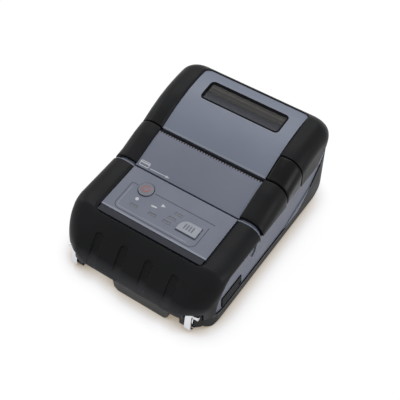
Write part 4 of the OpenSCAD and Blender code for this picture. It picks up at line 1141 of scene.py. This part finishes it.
# painted highlights on the edges of the deck behind the strip and of the lid behind the tear bar
strip_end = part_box("ir_window")[1][1] * 1000
ribbon("deck_front_edge", across(28.2, strip_end + 0.6, 16), 0.9, 0.0, highlight_ink)
ribbon("lid_front_edge", across(28, y_lid + 0.55, 20), 0.8, 0.0, highlight_ink, "lid", z_of=lid_z)

# row of small teeth along the mid cover's rear edge, with a dark gap behind it
ribbon("tear_gap", across(28.3, y_tear - 0.75, 20), 1.0, 0.02, recess, "body")
teeth_n = 38
teeth_half = 28
teeth_pitch = 2 * teeth_half / teeth_n
tooth_hw = 0.46
tip_y, root_y = y_tear - 2.2, y_tear - 1.1
tip_z, root_z = panel_z(tip_y) + 0.05, panel_z(root_y) + 0.09
tip_t, root_t = 0.4, 0.5
verts = []
faces = []
for k in range(teeth_n):
    x = (k + 0.5) * teeth_pitch - teeth_half
    verts += [(x - tooth_hw, root_y, root_z), (x + tooth_hw, root_y, root_z), (x, tip_y, tip_z)]
    verts += [(x, root_y, root_z - root_t), (x, tip_y, tip_z - tip_t)]
    n = 5 * k
    faces += [(n, n + 1, n + 2), (n, n + 3, n + 1)]
    faces += [(n, n + 2, n + 4, n + 3), (n + 1, n + 3, n + 4, n + 2)]
new_object("tear_teeth", mesh_from("tear_teeth", verts, faces), tooth_brown, "body")

# ---------------------------------------------------------------- side walls

wall_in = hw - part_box("upper_case")[1][0] * 1000


def side_line(name, pts, width, height, mat):
    """Line on the right side wall, along (y, z) points."""
    def pair(y, z):
        x = half_w(y) - wall_in
        return [(x - side_sunk, y, z), (x + height, y, z)]

    return raised_line(name, pts, width, pair, mat, "body")


# curved tick on the right side: a dark line of painted shade and a painted highlight along its edge
tick = [(-13.7, 26.0), (-13.7, 24.8), (-14.0, 23.2), (-15.0, 21.4), (-16.9, 20.6)]
side_line("tick_dark", tick, 0.5, 0.03, shade_ink)
side_line("tick_light", [(y + 0.8, z + 0.1) for y, z in tick], 0.45, 0.03, highlight_ink)

# the wall's foot, from the case's straight lower edge down to the curved seam
wall_y0, wall_z0 = 12.2, 8.2
wall_y1, wall_z1 = 36.5, 17.0
wall_t = 1.7
seam_arc_r = 100
seam_arc_y = y_rear - 88.2
seam_arc_z = 89.6
seam_gap = 0.4


def wall_edge_z(y):
    """Lower edge of the case's side wall."""
    return wall_z0 + (y - wall_y0) * (wall_z1 - wall_z0) / (wall_y1 - wall_y0)


def seam_line_z(y):
    """Upper edge of the lower housing."""
    return max(wall_z0, seam_arc_z - math.sqrt((seam_arc_r - seam_gap) ** 2 - (y - seam_arc_y) ** 2))


def side_wall(name, side):
    """Plate that fills the side wall between the case's edge and the seam."""
    ys = span(wall_y0 + 0.5, wall_y1 - 0.2, 40)
    x1 = side * (hw - wall_in + 0.01)
    x0 = side * (hw - wall_in - wall_t)
    line = [(y, min(seam_line_z(y), wall_edge_z(y) - 0.03)) for y in ys]
    line += [(y, wall_edge_z(y) + 0.04) for y in reversed(ys)]
    n = len(line)
    verts = [(x0, y, z) for y, z in line] + [(x1, y, z) for y, z in line]
    faces = []
    for i in range(len(ys) - 1):
        j = n - 1 - i
        faces += [(i, i + 1, j - 1, j), (n + i, n + j, n + j - 1, n + i + 1)]
    faces += [(i, (i + 1) % n, n + (i + 1) % n, n + i) for i in range(n)]
    return new_object(name, mesh_from(name, verts, faces), grey, "body")


seam_front_n = 30
seam_pts = [(y, seam_line_z(y) + 0.15) for y in span(-46, 25, seam_front_n) + span(26, 44, 24)]
glint_pts = [(y, z - 0.75) for y, z in seam_pts[:seam_front_n + 1]]
side_line("seam_line", seam_pts, 0.5, 0.02, recess)
side_line("seam_glint", glint_pts, 0.4, 0.02, glint)
side_wall("skin_wall_right", 1)
side_wall("skin_wall_left", -1)
